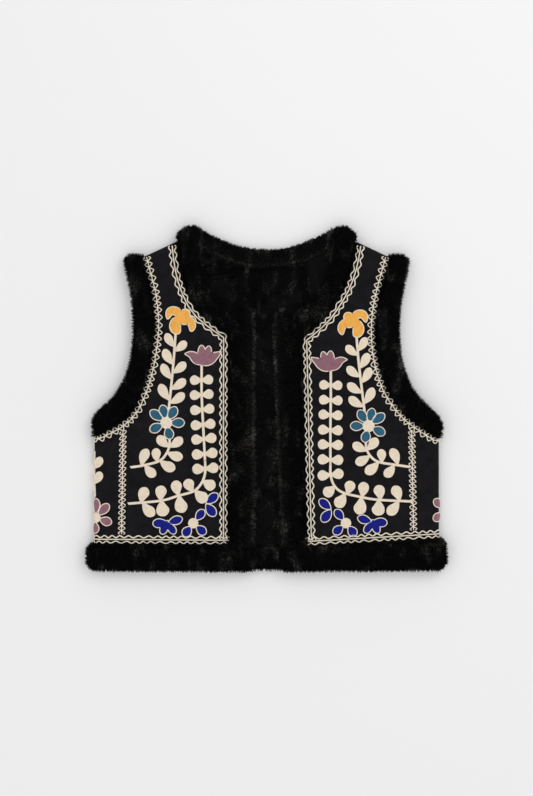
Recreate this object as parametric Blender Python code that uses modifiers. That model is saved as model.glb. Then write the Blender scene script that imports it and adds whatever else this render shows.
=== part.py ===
"""A cropped, open-front gilet with fur bands and sewn-on braid, laid flat with its front up.

World axes, in metres: +X runs to the right as the garment is seen, +Y from hem to neck, +Z up from the
surface that it lies on. The origin is on that surface, under the middle of the garment. Left and right are
as seen.

The tables are in millimetres. Each row of a band's table is one section across it: the point on its seam with
the cloth, and the point on its free edge. The cloth panels take their outlines from the same seams.
"""

import math
from collections import namedtuple

import bmesh
import bpy

MM = 0.001

# Layers, from the surface up, in mm.
GAP = 0.3  # between pieces that meet
WALL = 2.6  # cloth with its backing
LINING_TOP = 10.7  # the lining's pile, which fills the space between back and fronts
FRONT_TOP = LINING_TOP + GAP + WALL
FOLD_RADIUS = FRONT_TOP / 2  # outer radius where cloth turns over at the sides and shoulders
QUARTER_FOLD = math.pi * FOLD_RADIUS / 2
SHOULDER_RETURN = 4.0  # how far a front runs on under the shoulder, to its seam with the back
SWELL = 2.2  # how far a front rises over its middle

# Fur bands: two layers on each other, joined by a turn.
BAND_HALF = 5.75
BAND_GAP = 0.6
TURN_RADIUS = BAND_HALF + BAND_GAP / 2
LOW_MID = BAND_HALF
HIGH_MID = LOW_MID + 2 * TURN_RADIUS
EDGE_HALF = 6.3  # the bands on the front edges, which have one layer
EDGE_MID = LINING_TOP + GAP + EDGE_HALF
BACK_NECK_HALF = 7.4
LUMP_HEIGHT = 0.07  # of a band's half thickness
LUMP_PITCH = 74.0
SAMPLE = 17.0  # spacing of sections along seams
TURN_STEPS = 6
HEM_END_REACH = 7.0  # how far the rounded ends run past a band's last section
FRONT_END_REACH = 8.5
END_PARTS = (0.42, 0.78, 1.0)  # where the rings of a rounded end lie along its reach
END_ROUNDNESS = 0.88

# Braid.
WIDE_BRAID = 12.2
NARROW_BRAID = 8.0
SIDE_BRAID = 8.5
BRAID_THICKNESS = 1.0
BRAID_OFF_SEAM = 0.5
BRAID_END_GAP = 1.2  # where one braid stops short of another

# Half of a band's section, from its crown down to its foot: across by up, each from -1 to 1.
SectionPoint = namedtuple("SectionPoint", "across up")
DOMED = [
    SectionPoint(*point)
    for point in ((0, 1), (0.45, 0.88), (0.76, 0.6), (0.94, 0.2), (1, -0.25), (0.99, -0.7), (0.86, -1))
]
FLAT = [
    SectionPoint(*point)
    for point in ((0, 1), (0.55, 1), (0.88, 0.94), (0.99, 0.6), (1, 0), (0.99, -0.7), (0.86, -1))
]

Row = namedtuple("Row", "seam_x seam_y edge_x edge_y")
Line = namedtuple("Line", "x y")


def rows(*table):
    return [Row(*values) for values in table]


# From the underarm to the shoulder.
ARMHOLE = {
    "left": rows(
        (-236.0, -52.5, -236.0, -17.0),
        (-221.3, -45.5, -231.0, -12.5),
        (-200.5, -33.5, -221.0, -5.0),
        (-185.0, -16.3, -213.0, 4.5),
        (-176.0, 1.5, -205.5, 16.0),
        (-167.7, 25.0, -197.3, 32.5),
        (-161.0, 53.0, -190.5, 57.0),
        (-155.8, 98.0, -187.0, 98.0),
        (-159.0, 142.0, -189.7, 142.0),
        (-166.0, 170.0, -196.0, 172.0),
        (-171.6, 192.2, -200.5, 192.2),
    ),
    "right": rows(
        (237.5, -55.0, 237.5, -21.0),
        (222.0, -45.5, 231.5, -15.5),
        (203.3, -32.6, 220.5, -6.0),
        (189.5, -20.0, 212.5, 4.0),
        (174.5, 0.4, 204.0, 15.0),
        (165.5, 17.5, 197.5, 30.0),
        (158.0, 40.0, 191.5, 47.0),
        (153.2, 66.0, 188.3, 67.0),
        (151.5, 94.5, 186.5, 95.5),
        (153.2, 121.0, 187.5, 122.0),
        (157.5, 143.0, 190.3, 142.0),
        (164.0, 168.5, 196.5, 169.5),
        (170.5, 192.2, 200.5, 192.2),
    ),
}
# From the front corner up to the shoulder fold.
NECK = {
    "left": rows(
        (-53.9, 88.5, -46.5, 124.0),
        (-77.0, 105.1, -58.0, 134.0),
        (-92.3, 117.5, -71.0, 146.0),
        (-103.8, 132.3, -81.0, 158.5),
        (-112.2, 150.4, -87.0, 173.0),
        (-119.0, 171.1, -90.3, 187.0),
        (-122.8, 192.1, -91.4, 200.0),
        (-125.2, 213.2, -91.4, 214.5),
    ),
    "right": rows(
        (50.1, 84.5, 42.0, 120.8),
        (65.2, 97.2, 53.5, 130.5),
        (82.7, 113.2, 64.5, 142.5),
        (96.1, 131.9, 74.8, 155.5),
        (109.2, 154.3, 82.8, 169.0),
        (118.0, 178.4, 88.3, 186.0),
        (122.2, 196.0, 90.4, 200.0),
        (125.0, 213.0, 91.0, 214.5),
    ),
}
# From the shoulder fold to the turn at the top of the neck.
LOBE = {
    "left": rows((-125.2, 213.2, -91.4, 214.5), (-125.8, 222.5, -91.0, 223.5), (-125.8, 231.7, -90.8, 231.7)),
    "right": rows((125.0, 213.0, 91.0, 214.5), (125.6, 222.0, 90.9, 223.0), (125.6, 230.9, 90.7, 230.9)),
}
# From the hem up to the front corner, then on past the neck band's end.
FRONT_EDGE = {
    "left": rows(
        (-53.4, -205.9, -17.5, -205.9),
        (-53.4, -120.0, -16.3, -120.0),
        (-53.4, -30.0, -17.2, -30.0),
        (-53.1, 88.2, -16.7, 88.2),
    ),
    "right": rows(
        (56.2, -207.6, 22.6, -207.6),
        (54.0, -120.0, 18.4, -120.0),
        (52.0, -30.0, 14.6, -30.0),
        (49.3, 84.2, 10.5, 84.2),
    ),
}
FRONT_TOP_END = {
    "left": rows((-53.1, 88.2, -16.7, 88.2), (-49.2, 106.0, -16.9, 104.0), (-45.7, 121.0, -17.8, 119.0)),
    "right": rows((49.3, 84.2, 10.5, 84.2), (45.2, 102.0, 10.2, 101.0), (41.6, 117.0, 11.4, 116.0)),
}
# Sections of the hem band, from the front opening out to the side.
HEM = {
    "left": rows(
        (-24.0, -206.4, -24.0, -242.6),
        (-53.4, -206.2, -53.4, -243.4),
        (-244.2, -204.7, -244.2, -242.0),
    ),
    "right": rows(
        (30.0, -207.9, 30.0, -243.5),
        (56.2, -207.9, 56.2, -243.5),
        (244.2, -197.0, 244.2, -241.4),
    ),
}
HEM_BACK_MIDDLE = rows((0.0, -207.4, 0.0, -243.5))
# From the left shoulder to the right one, along the back of the neck.
BACK_NECK = rows(
    (-90.3, 209.8, -90.3, 236.5),
    (-77.0, 202.0, -75.0, 229.6),
    (-57.0, 192.0, -53.0, 219.5),
    (-30.0, 184.9, -27.0, 212.4),
    (0.0, 182.7, 0.0, 210.4),
    (30.0, 184.9, 27.0, 212.4),
    (57.0, 192.0, 53.0, 219.5),
    (77.0, 202.0, 75.0, 229.6),
    (90.2, 209.8, 90.2, 236.3),
)
# The seams between fronts and side pieces, the folds at the sides and the seams under the back, from x = 0.
SIDE_SEAM = {
    "left": (Line(-203.0, -204.9), Line(-201.0, -34.0)),
    "right": (Line(206.0, -199.2), Line(203.3, -32.6)),
}
FOLD_START = {"left": -235.0, "right": 235.6}
BACK_SEAM_X = 221.0
LINING_SIDE_X = 233.2
# Which way the shoulder's cloth runs over its fold, at the armhole and at the neck.
SHOULDER_RUN = {"left": (Line(0.0, 1.0), Line(-0.22, 0.98)), "right": (Line(0.0, 1.0), Line(0.22, 0.98))}
SIDES = {"left": -1, "right": 1}
CLOTH_COLUMNS = 8
BACK_ROWS = 27
SHOULDER_COLUMNS = 3  # across each shoulder of the back
SIDE_ROWS = 9
HEM_BRAID_STEPS = 11
FOLD_BRAID_STEPS = 3  # from the start of a side fold to its outermost line, where the braid ends
# The part of a front that swells: from and to, across and along.
SWELL_ACROSS = (50.0, 202.0)
SWELL_ALONG = (-206.0, 194.0)
SWELL_SHAPE = 0.7

COLOURS = {
    "cloth": (0.012, 0.011, 0.013),
    "fur": (0.003, 0.003, 0.003),
    "thread": (0.73, 0.66, 0.54),
}
ROUGHNESS = {"cloth": 0.85, "fur": 0.6, "thread": 0.7}


def lerp(a, b, t):
    """The point a fraction t of the way from a to b, of any length."""
    return tuple(p + (q - p) * t for p, q in zip(a, b))


def smooth(table, count, steps=10):
    """A Catmull-Rom curve through the table's rows, as `count` rows evenly spaced along its seam."""
    ends = [lerp(table[0], table[1], -1.0), *table, lerp(table[-1], table[-2], -1.0)]
    fine = []
    for a, b, c, d in zip(ends, ends[1:], ends[2:], ends[3:]):
        for step in range(steps):
            t = step / steps
            weights = (
                -t / 2 + t * t - t**3 / 2,
                1 - 2.5 * t * t + 1.5 * t**3,
                t / 2 + 2 * t * t - 1.5 * t**3,
                (t**3 - t * t) / 2,
            )
            fine.append(tuple(sum(w * p[k] for w, p in zip(weights, (a, b, c, d))) for k in range(len(b))))
    fine.append(tuple(table[-1]))
    return resample(fine, count)


def resample(points, count):
    """`count` points evenly spaced along the first two columns of a list of points."""
    travelled = [0.0]
    for p, q in zip(points, points[1:]):
        travelled.append(travelled[-1] + math.dist(p[:2], q[:2]))
    spaced = []
    span = 0
    for i in range(count):
        target = travelled[-1] * i / (count - 1)
        while span < len(points) - 2 and travelled[span + 1] < target:
            span += 1
        length = max(travelled[span + 1] - travelled[span], 1e-9)
        spaced.append(lerp(points[span], points[span + 1], (target - travelled[span]) / length))
    return spaced


def sampled(table):
    """A band's table, smoothed, with a section every SAMPLE millimetres or a little less."""
    length = sum(math.dist(p[:2], q[:2]) for p, q in zip(table, table[1:]))
    return [Row(*values) for values in smooth(table, math.ceil(length / SAMPLE) + 1)]


def seam_of(sections):
    return [(row.seam_x, row.seam_y) for row in sections]


def offset_line(line, distance):
    """A line in the plane moved to its left by `distance`, with mitred corners."""
    moved = []
    for i, point in enumerate(line):
        before = line[max(i - 1, 0)]
        after = line[min(i + 1, len(line) - 1)]
        normals = []
        for p, q in ((before, point), (point, after)):
            length = math.dist(p, q)
            if length > 1e-9:
                normals.append(((p[1] - q[1]) / length, (q[0] - p[0]) / length))
        nx = sum(n[0] for n in normals) / len(normals)
        ny = sum(n[1] for n in normals) / len(normals)
        scale = distance / (nx * nx + ny * ny)
        moved.append((point[0] + nx * scale, point[1] + ny * scale))
    return moved


def between(line, key, low, high):
    """The points of a line whose coordinate `key` lies from low to high, with exact points at both limits."""
    kept = []
    for p, q in zip(line, line[1:]):
        for limit in sorted((low, high), key=lambda value: (value - p[key]) * (q[key] - p[key])):
            if min(p[key], q[key]) < limit < max(p[key], q[key]):
                kept.append((limit, lerp(p, q, (limit - p[key]) / (q[key] - p[key]))))
        if low <= q[key] <= high:
            kept.append((q[key], q))
    if low <= line[0][key] <= high:
        kept.insert(0, (line[0][key], line[0]))
    return [point for _, point in kept]


def height_at(line, x):
    """The y of a line that runs across the garment, at this x."""
    ordered = sorted(line)
    for p, q in zip(ordered, ordered[1:]):
        if x <= q[0]:
            return lerp(p, q, (x - p[0]) / (q[0] - p[0]))[1]
    return ordered[-1][1]


def swell(x, y):
    """How far a front stands above its flat height: nothing at the side seam and the front edge."""
    across, along = (
        min(max((value - low) / (high - low), 0.0), 1.0)
        for value, (low, high) in ((abs(x), SWELL_ACROSS), (y, SWELL_ALONG))
    )
    return SWELL * math.sin(math.pi * across) * math.sin(math.pi * along) ** SWELL_SHAPE


def material(name):
    found = bpy.data.materials.get(name)
    if found:
        return found
    made = bpy.data.materials.new(name)
    made.use_nodes = True
    shader = made.node_tree.nodes["Principled BSDF"]
    shader.inputs["Base Color"].default_value = (*COLOURS[name], 1.0)
    shader.inputs["Roughness"].default_value = ROUGHNESS[name]
    shader.inputs["Metallic"].default_value = 0.0
    return made


def add_object(collection, name, bm, finish):
    """Makes an object of a closed mesh given in millimetres."""
    bmesh.ops.scale(bm, vec=(MM, MM, MM), verts=bm.verts)
    bmesh.ops.recalc_face_normals(bm, faces=bm.faces)
    mesh = bpy.data.meshes.new(name)
    bm.to_mesh(mesh)
    bm.free()
    mesh.shade_smooth()
    mesh.set_sharp_from_angle(angle=math.radians(50))
    mesh.materials.append(material(finish))
    made = bpy.data.objects.new(name, mesh)
    collection.objects.link(made)
    return made


def loft(rings, closed=False):
    """A closed mesh through rings of points: capped at both ends, or joined end to end."""
    bm = bmesh.new()
    loops = [[bm.verts.new(point) for point in ring] for ring in rings]
    pairs = list(zip(loops, loops[1:]))
    if closed:
        pairs.append((loops[-1], loops[0]))
    for one, other in pairs:
        for i in range(len(one)):
            j = (i + 1) % len(one)
            bm.faces.new((one[i], one[j], other[j], other[i]))
    if not closed:
        bm.faces.new(loops[0])
        bm.faces.new(reversed(loops[-1]))
    return bm


class Band:
    """A fur band: rings of points across it, laid down section by section."""

    def __init__(self, half=BAND_HALF):
        self.half = half
        self.rings = []
        self.travelled = 0.0
        self.last = None

    def ring(self, centre, seam_way, half_width, up, level, flatness=0.0, size=1.0, lump=0.0):
        """One ring: `up` is the unit vector (along x, along y, along z) to the band's crown."""
        points = []
        section = [lerp(domed, flat, flatness) for domed, flat in zip(DOMED, FLAT)]
        outline = section + [(-across, rise) for across, rise in reversed(section[1:])]
        for across, rise in outline:
            reach = half_width * across * size
            lift = self.half * rise * (size if rise > 0 else 0.5 + size / 2)
            lift *= 1 + (lump if rise > 0 else 0.0)
            points.append(
                (
                    centre[0] + seam_way[0] * reach + up[0] * lift,
                    centre[1] + seam_way[1] * reach + up[1] * lift,
                    max(level + up[2] * lift, 0.0),
                )
            )
        self.rings.append(points)

    def lay(self, section, level, side_up=1, size=1.0, flatness=0.0):
        """A ring at one section of the band's table. side_up is 1 with the crown up and -1 with it down."""
        seam, edge = (section[0], section[1]), (section[2], section[3])
        centre = lerp(seam, edge, 0.5)
        width = math.dist(seam, edge)
        seam_way = ((seam[0] - edge[0]) / width, (seam[1] - edge[1]) / width)
        if self.last:
            self.travelled += math.dist(self.last, centre)
        self.last = centre
        lump = LUMP_HEIGHT * math.sin(2 * math.pi * self.travelled / LUMP_PITCH) if side_up > 0 else 0.0
        self.ring(centre, seam_way, width / 2, (0, 0, side_up), level, flatness, size, lump)

    def turn(self, section, before, start_up, pinch_seam=0.0, pinch_edge=0.0):
        """The turn from one layer to the other, past `section`, away from the section before it."""
        seam, edge = (section[0], section[1]), (section[2], section[3])
        centre = lerp(seam, edge, 0.5)
        width = math.dist(seam, edge)
        seam_way = ((seam[0] - edge[0]) / width, (seam[1] - edge[1]) / width)
        outward = (seam_way[1], -seam_way[0])
        came_from = lerp(before[0:2], before[2:4], 0.5)
        ahead = (centre[0] - came_from[0]) * outward[0] + (centre[1] - came_from[1]) * outward[1]
        if ahead < 0:
            outward = (-outward[0], -outward[1])
        middle = (LOW_MID + HIGH_MID) / 2
        for step in range(1, TURN_STEPS):
            angle = math.pi * step / TURN_STEPS
            reach = TURN_RADIUS * math.sin(angle)
            rise = math.cos(angle) * start_up
            trim_seam = width * pinch_seam * math.sin(angle)
            trim_edge = width * pinch_edge * math.sin(angle)
            shift = (trim_edge - trim_seam) / 2
            moved = (
                centre[0] + outward[0] * reach + seam_way[0] * shift,
                centre[1] + outward[1] * reach + seam_way[1] * shift,
            )
            flatness = (1 - rise) / 2
            crown = (outward[0] * math.sin(angle), outward[1] * math.sin(angle), rise)
            half_width = (width - trim_seam - trim_edge) / 2
            self.ring(moved, seam_way, half_width, crown, middle + TURN_RADIUS * rise, flatness)

    def rounded_end(self, section, inner, level, reach, side_up=1, opening=False):
        """Rings that close a free end `reach` past `section`, away from `inner`; opening puts them first."""
        centre = lerp(section[0:2], section[2:4], 0.5)
        from_inside = lerp(inner[0:2], inner[2:4], 0.5)
        length = math.dist(centre, from_inside)
        way = ((centre[0] - from_inside[0]) / length, (centre[1] - from_inside[1]) / length)
        made = []
        for part in END_PARTS:
            moved = tuple(value + way[k % 2] * reach * part for k, value in enumerate(section))
            made.append((moved, math.sqrt(1 - (part * END_ROUNDNESS) ** 2)))
        if opening:
            made.reverse()
        for moved, size in made:
            self.lay(moved, level, side_up, size)


def make_hem(collection):
    """One band all round the hem, from one front edge over both side folds to the other."""
    band = Band()
    left = [*HEM["left"][:1], *sampled(HEM["left"][1:])]
    right = [*HEM["right"][:1], *sampled(HEM["right"][1:])]
    back = sampled([*reversed(HEM["left"][1:]), *HEM_BACK_MIDDLE, *HEM["right"][1:]])
    band.rounded_end(left[0], left[1], HIGH_MID, HEM_END_REACH, opening=True)
    for section in left:
        band.lay(section, HIGH_MID)
    band.turn(left[-1], left[-2], 1, pinch_edge=0.12)
    for section in back:
        band.lay(section, LOW_MID, -1, flatness=1.0)
    band.turn(right[-1], right[-2], -1, pinch_edge=0.12)
    for section in reversed(right):
        band.lay(section, HIGH_MID)
    band.rounded_end(right[0], right[1], HIGH_MID, HEM_END_REACH)
    add_object(collection, "hem_fur", loft(band.rings), "fur")


def make_armhole_band(collection, side):
    """A closed band round an armhole, pressed flat: up the front, over the shoulder, down the back."""
    sections = sampled(ARMHOLE[side])
    band = Band()
    for section in sections:
        band.lay(section, HIGH_MID)
    band.turn(sections[-1], sections[-2], 1, pinch_seam=0.06, pinch_edge=0.1)
    for section in reversed(sections):
        band.lay(section, LOW_MID, -1, flatness=1.0)
    band.turn(sections[0], sections[1], -1, pinch_edge=0.2)
    add_object(collection, f"armhole_fur_{side}", loft(band.rings, closed=True), "fur")


def make_neck_band(collection, side):
    """From the front corner along the neck, over the shoulder, with a short return underneath."""
    sections = sampled(NECK[side])
    lobe = LOBE[side]
    band = Band()
    for section in sections:
        band.lay(section, HIGH_MID)
    for section in lobe[1:]:
        band.lay(section, HIGH_MID)
    band.turn(lobe[-1], lobe[-2], 1, pinch_seam=0.22, pinch_edge=0.04)
    band.lay(lobe[-1], LOW_MID, -1, flatness=1.0)
    band.lay(lobe[-2], LOW_MID, -1, flatness=1.0)
    add_object(collection, f"neck_fur_{side}", loft(band.rings), "fur")


def make_back_neck_band(collection):
    """The band along the back of the neck, between the two shoulder lobes."""
    band = Band(BACK_NECK_HALF)
    for section in sampled(BACK_NECK):
        band.lay(section, BACK_NECK_HALF)
    add_object(collection, "neck_fur_back", loft(band.rings), "fur")


def make_front_band(collection, side):
    """The band down one front edge, with a rounded top beside the neck band's end."""
    sections = sampled(FRONT_EDGE[side])
    top = FRONT_TOP_END[side]
    band = Band(EDGE_HALF)
    for section in (*sections, *top[1:]):
        band.lay(section, EDGE_MID)
    band.rounded_end(top[-1], top[-2], EDGE_MID, FRONT_END_REACH)
    add_object(collection, f"front_fur_{side}", loft(band.rings), "fur")


def front_outline(side):
    """A front's two long edges, point for point, from hem to shoulder: the armhole's, then the neck's."""
    front = sampled(FRONT_EDGE[side])
    inner = offset_line([*seam_of(front), *seam_of(sampled(NECK[side]))[1:]], -GAP * SIDES[side])
    hem = offset_line(seam_of(HEM[side][1:]), GAP * SIDES[side])
    inner[0] = (inner[0][0], height_at(hem, inner[0][0]))
    low, high = SIDE_SEAM[side]
    armhole = seam_of(sampled(ARMHOLE[side]))
    limit = sorted((high.x, SIDES[side] * 100.0))
    armhole = between(offset_line(armhole, GAP * SIDES[side]), 0, *limit)
    start = (low.x, height_at(hem, low.x))
    shift = GAP / 2 * SIDES[side]
    armhole[0] = (armhole[0][0] - shift, armhole[0][1])
    seam_rows = len(inner) - len(armhole)
    seam = [lerp((start[0] - shift, start[1]), armhole[0], i / seam_rows) for i in range(seam_rows)]
    return [*seam, *armhole], inner


def fold_over(point, way, inner):
    """Points where cloth turns over the shoulder and runs back under it, towards the point inner."""
    turned = []
    for step in range(1, TURN_STEPS + 1):
        angle = math.pi * step / TURN_STEPS
        reach = FOLD_RADIUS * math.sin(angle)
        rise = FOLD_RADIUS * math.cos(angle)
        turned.append((point[0] + way[0] * reach, point[1] + way[1] * reach, FOLD_RADIUS + rise))
    turned.append((*lerp(point, inner, SHOULDER_RETURN / math.dist(point, inner)), 0.0))
    return turned


def add_cloth(collection, name, grid):
    """A cloth wall under a grid of points on its outer face, made with Solidify."""
    rows_count, columns = len(grid), len(grid[0])
    bm = bmesh.new()
    bmesh.ops.create_grid(bm, x_segments=columns - 1, y_segments=rows_count - 1, size=1.0)
    for vert in bm.verts:
        column = round((vert.co.x + 1) / 2 * (columns - 1))
        row = round((vert.co.y + 1) / 2 * (rows_count - 1))
        vert.co = [value * MM for value in grid[row][column]]
    bm.normal_update()
    if sum(face.normal.z * face.calc_area() for face in bm.faces) < 0:
        bmesh.ops.reverse_faces(bm, faces=bm.faces)
    mesh = bpy.data.meshes.new(name)
    bm.to_mesh(mesh)
    bm.free()
    mesh.shade_smooth()
    mesh.materials.append(material("cloth"))
    made = bpy.data.objects.new(name, mesh)
    collection.objects.link(made)
    wall = made.modifiers.new("wall", "SOLIDIFY")
    wall.thickness = WALL * MM
    wall.offset = -1.0
    wall.use_even_offset = True
    return made


def make_front(collection, side):
    """A front panel, which turns over at the shoulder to a seam on the back."""
    outer, inner = front_outline(side)
    grid = []
    for a, b in zip(outer, inner):
        points = [lerp(a, b, column / CLOTH_COLUMNS) for column in range(CLOTH_COLUMNS + 1)]
        grid.append([(x, y, FRONT_TOP + swell(x, y)) for x, y in points])
    grid[-1] = [(x, y, FRONT_TOP) for x, y, _ in grid[-1]]
    turned = []
    for column, (point, inner) in enumerate(zip(grid[-1], grid[-2])):
        way = lerp(*SHOULDER_RUN[side], column / CLOTH_COLUMNS)
        turned.append(fold_over(point[:2], way, inner[:2]))
    for step in range(TURN_STEPS + 1):
        grid.append([column[step] for column in turned])
    add_cloth(collection, f"front_{side}", grid)


def side_run(side, distance):
    """The x, z and outward normal of a side piece's face, `distance` past the start of its fold."""
    start = FOLD_START[side]
    if distance <= 0:
        return start + distance * SIDES[side], FRONT_TOP, (0.0, 1.0)
    angle = min(distance / FOLD_RADIUS, math.pi)
    past = max(distance - math.pi * FOLD_RADIUS, 0.0)
    across, up = math.sin(angle), math.cos(angle)
    x = start + SIDES[side] * (FOLD_RADIUS * across - past)
    return x, FOLD_RADIUS * (1 + up), (SIDES[side] * across, up)


def make_side(collection, side):
    """A side piece: from the seam beside the front, over the fold, to the seam under the back."""
    low, high = SIDE_SEAM[side]
    sign = SIDES[side]
    hem = offset_line(seam_of(HEM[side][1:]), GAP * sign)
    armhole = offset_line(seam_of(sampled(ARMHOLE[side])), GAP * sign)
    crossing = [x for x, _ in armhole if abs(high.x) + 0.5 < abs(x) < abs(FOLD_START[side]) - 0.5]
    stations = [0.0, *sorted(abs(x) - abs(high.x) for x in crossing), abs(FOLD_START[side] - high.x)]
    flat = abs(FOLD_START[side]) - abs(high.x)
    for step in range(1, TURN_STEPS + 1):
        stations.append(flat + math.pi * FOLD_RADIUS * step / TURN_STEPS)
    stations.append(flat + math.pi * FOLD_RADIUS + abs(FOLD_START[side]) - BACK_SEAM_X - GAP)
    grid = []
    for row in range(SIDE_ROWS + 1):
        part = row / SIDE_ROWS
        line = []
        for station in stations:
            x, z, _ = side_run(side, station - flat)
            seam_shift = (low.x - high.x) * (1 - part) * max(0.0, 1 - station / flat)
            foot = height_at(hem, x)
            head = height_at(armhole, x) if abs(x) < abs(armhole[0][0]) else armhole[0][1]
            gap = sign * GAP / 2 if station == 0 else 0.0
            line.append((x + seam_shift + gap, foot + (head - foot) * part, z))
        grid.append(line)
    add_cloth(collection, f"side_{side}", grid)


def back_outline(side, side_x):
    """One long edge of the back, from the hem up the side and round the armhole to the shoulder."""
    sign = SIDES[side]
    hem = offset_line(seam_of(HEM[side][1:]), GAP * sign)
    armhole = offset_line(seam_of(sampled(ARMHOLE[side])), GAP * sign)
    armhole = between(armhole, 0, *sorted((sign * side_x, sign * 100.0)))
    foot = (sign * side_x, height_at(hem, sign * side_x))
    climbs = BACK_ROWS - len(armhole)
    return [*(lerp(foot, armhole[0], i / climbs) for i in range(climbs)), *armhole]


def back_neck_outline(start, end):
    """The top of the back, from the left shoulder's outer end round the neck to the right shoulder's."""
    neck = offset_line(seam_of(sampled(BACK_NECK)), -GAP)
    drop = SHOULDER_RETURN + 2 * GAP
    left = (NECK["left"][-1].seam_x, NECK["left"][-1].seam_y - drop)
    right = (NECK["right"][-1].seam_x, NECK["right"][-1].seam_y - drop)
    parts = [i / SHOULDER_COLUMNS for i in range(SHOULDER_COLUMNS + 1)]
    return [*(lerp(start, left, part) for part in parts), *neck, *(lerp(right, end, part) for part in parts)]


def coons(left, right, foot, top):
    """A grid over the area between four edges. left and right run up, foot and top run across."""
    grid = []
    for j in range(len(left)):
        v = j / (len(left) - 1)
        line = []
        for i in range(len(top)):
            u = i / (len(top) - 1)
            across = lerp(left[j], right[j], u)
            along = lerp(foot[i], top[i], v)
            corner = lerp(lerp(foot[0], foot[-1], u), lerp(top[0], top[-1], u), v)
            line.append(tuple(a + b - c for a, b, c in zip(across, along, corner)))
        grid.append(line)
    return grid


def back_grid(side_x):
    """The flat area of the back inside its seams, out to side_x on each side."""
    left = back_outline("left", side_x)
    right = back_outline("right", side_x)
    for edge in (left, right):
        drop = (SHOULDER_RETURN + 2 * GAP) / (edge[-1][1] - edge[-2][1])
        edge[-1] = lerp(edge[-1], edge[-2], drop)
    top = back_neck_outline(left[-1], right[-1])
    hem = [Row(*point, *point) for point in [*reversed(seam_of(HEM["left"][1:])), *seam_of(HEM_BACK_MIDDLE)]]
    hem += [Row(*point, *point) for point in seam_of(HEM["right"][1:])]
    foot = between(offset_line(seam_of(sampled(hem)), GAP), 0, -side_x, side_x)
    foot = resample(foot, len(top))
    foot[0], foot[-1] = left[0], right[0]
    return coons(left, right, foot, top)


def make_back(collection):
    """The back's cloth, flat on the surface, and the lining's pile on top of it."""
    cloth = [[(x, y, WALL) for x, y in line] for line in back_grid(BACK_SEAM_X)]
    add_cloth(collection, "back_panel", cloth)
    pile = [[(x, y, LINING_TOP) for x, y in line] for line in back_grid(LINING_SIDE_X)]
    lining = add_cloth(collection, "back_lining", pile)
    lining.modifiers["wall"].thickness = (LINING_TOP - WALL - GAP) * MM
    lining.data.materials[0] = material("fur")


def strip(collection, name, lines):
    """A braid: a flat strip through pairs of points with their outward normals."""
    rings = []
    for (first, first_out), (second, second_out) in lines:
        low = GAP
        high = GAP + BRAID_THICKNESS
        rings.append(
            [
                tuple(p + n * low for p, n in zip(first, first_out)),
                tuple(p + n * low for p, n in zip(second, second_out)),
                tuple(p + n * high for p, n in zip(second, second_out)),
                tuple(p + n * high for p, n in zip(first, first_out)),
            ]
        )
    add_object(collection, name, loft(rings), "thread")


def on_front(point):
    """A point on a front's face with its normal, which is as good as upright on so slight a swell."""
    x, y = point
    return (x, y, FRONT_TOP + swell(x, y)), (0.0, 0.0, 1.0)


def make_edge_braid(collection, side):
    """The wide braid up a front edge and along the neck to the shoulder."""
    seam = [*seam_of(sampled(FRONT_EDGE[side])), *seam_of(sampled(NECK[side]))[1:]]
    near = offset_line(seam, -(GAP + BRAID_OFF_SEAM) * SIDES[side])
    far = offset_line(seam, -(GAP + BRAID_OFF_SEAM + WIDE_BRAID) * SIDES[side])
    hem_top = GAP + BRAID_OFF_SEAM + WIDE_BRAID + BRAID_END_GAP
    hem = offset_line(seam_of(HEM[side][1:]), hem_top * SIDES[side])
    for line in (near, far):
        line[0] = (line[0][0], height_at(hem, line[0][0]))
    strip(collection, f"edge_braid_{side}", [(on_front(a), on_front(b)) for a, b in zip(near, far)])


def make_hem_braid(collection, side):
    """The wide braid above the hem, from the front edge to the side fold."""
    sign = SIDES[side]
    hem = seam_of(HEM[side][1:])
    near = offset_line(hem, (GAP + BRAID_OFF_SEAM) * sign)
    far = offset_line(hem, (GAP + BRAID_OFF_SEAM + WIDE_BRAID) * sign)
    start = abs(HEM[side][1].seam_x) + GAP + BRAID_OFF_SEAM
    stop = abs(FOLD_START[side])
    stations = [start + (stop - start) * i / HEM_BRAID_STEPS for i in range(HEM_BRAID_STEPS + 1)]
    stations += [stop + QUARTER_FOLD * i / FOLD_BRAID_STEPS for i in range(1, FOLD_BRAID_STEPS + 1)]
    lines = []
    for station in stations:
        pair = []
        for line in (near, far):
            if station <= stop:
                x = sign * station
                pair.append(on_front((x, height_at(line, x))))
            else:
                x, z, out = side_run(side, station - stop)
                pair.append(((x, height_at(line, x), z), (out[0], 0.0, out[1])))
        lines.append(pair)
    strip(collection, f"hem_braid_{side}", lines)


def make_armhole_braid(collection, side):
    """The narrow braid round an armhole, from the shoulder to the side fold."""
    seam = seam_of(sampled(ARMHOLE[side]))
    near = offset_line(seam, (GAP + BRAID_OFF_SEAM) * SIDES[side])
    far = offset_line(seam, (GAP + BRAID_OFF_SEAM + NARROW_BRAID) * SIDES[side])
    lines = []
    for a, b in reversed(list(zip(near, far))):
        if abs(b[0]) > abs(FOLD_START[side]):
            continue
        lines.append((on_front(a), on_front(b)))
    near_y, far_y = near[0][1], far[0][1]
    for step in range(FOLD_BRAID_STEPS + 1):
        x, z, out = side_run(side, QUARTER_FOLD * step / FOLD_BRAID_STEPS)
        normal = (out[0], 0.0, out[1])
        lines.append((((x, near_y, z), normal), ((x, far_y, z), normal)))
    strip(collection, f"armhole_braid_{side}", lines)


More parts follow.
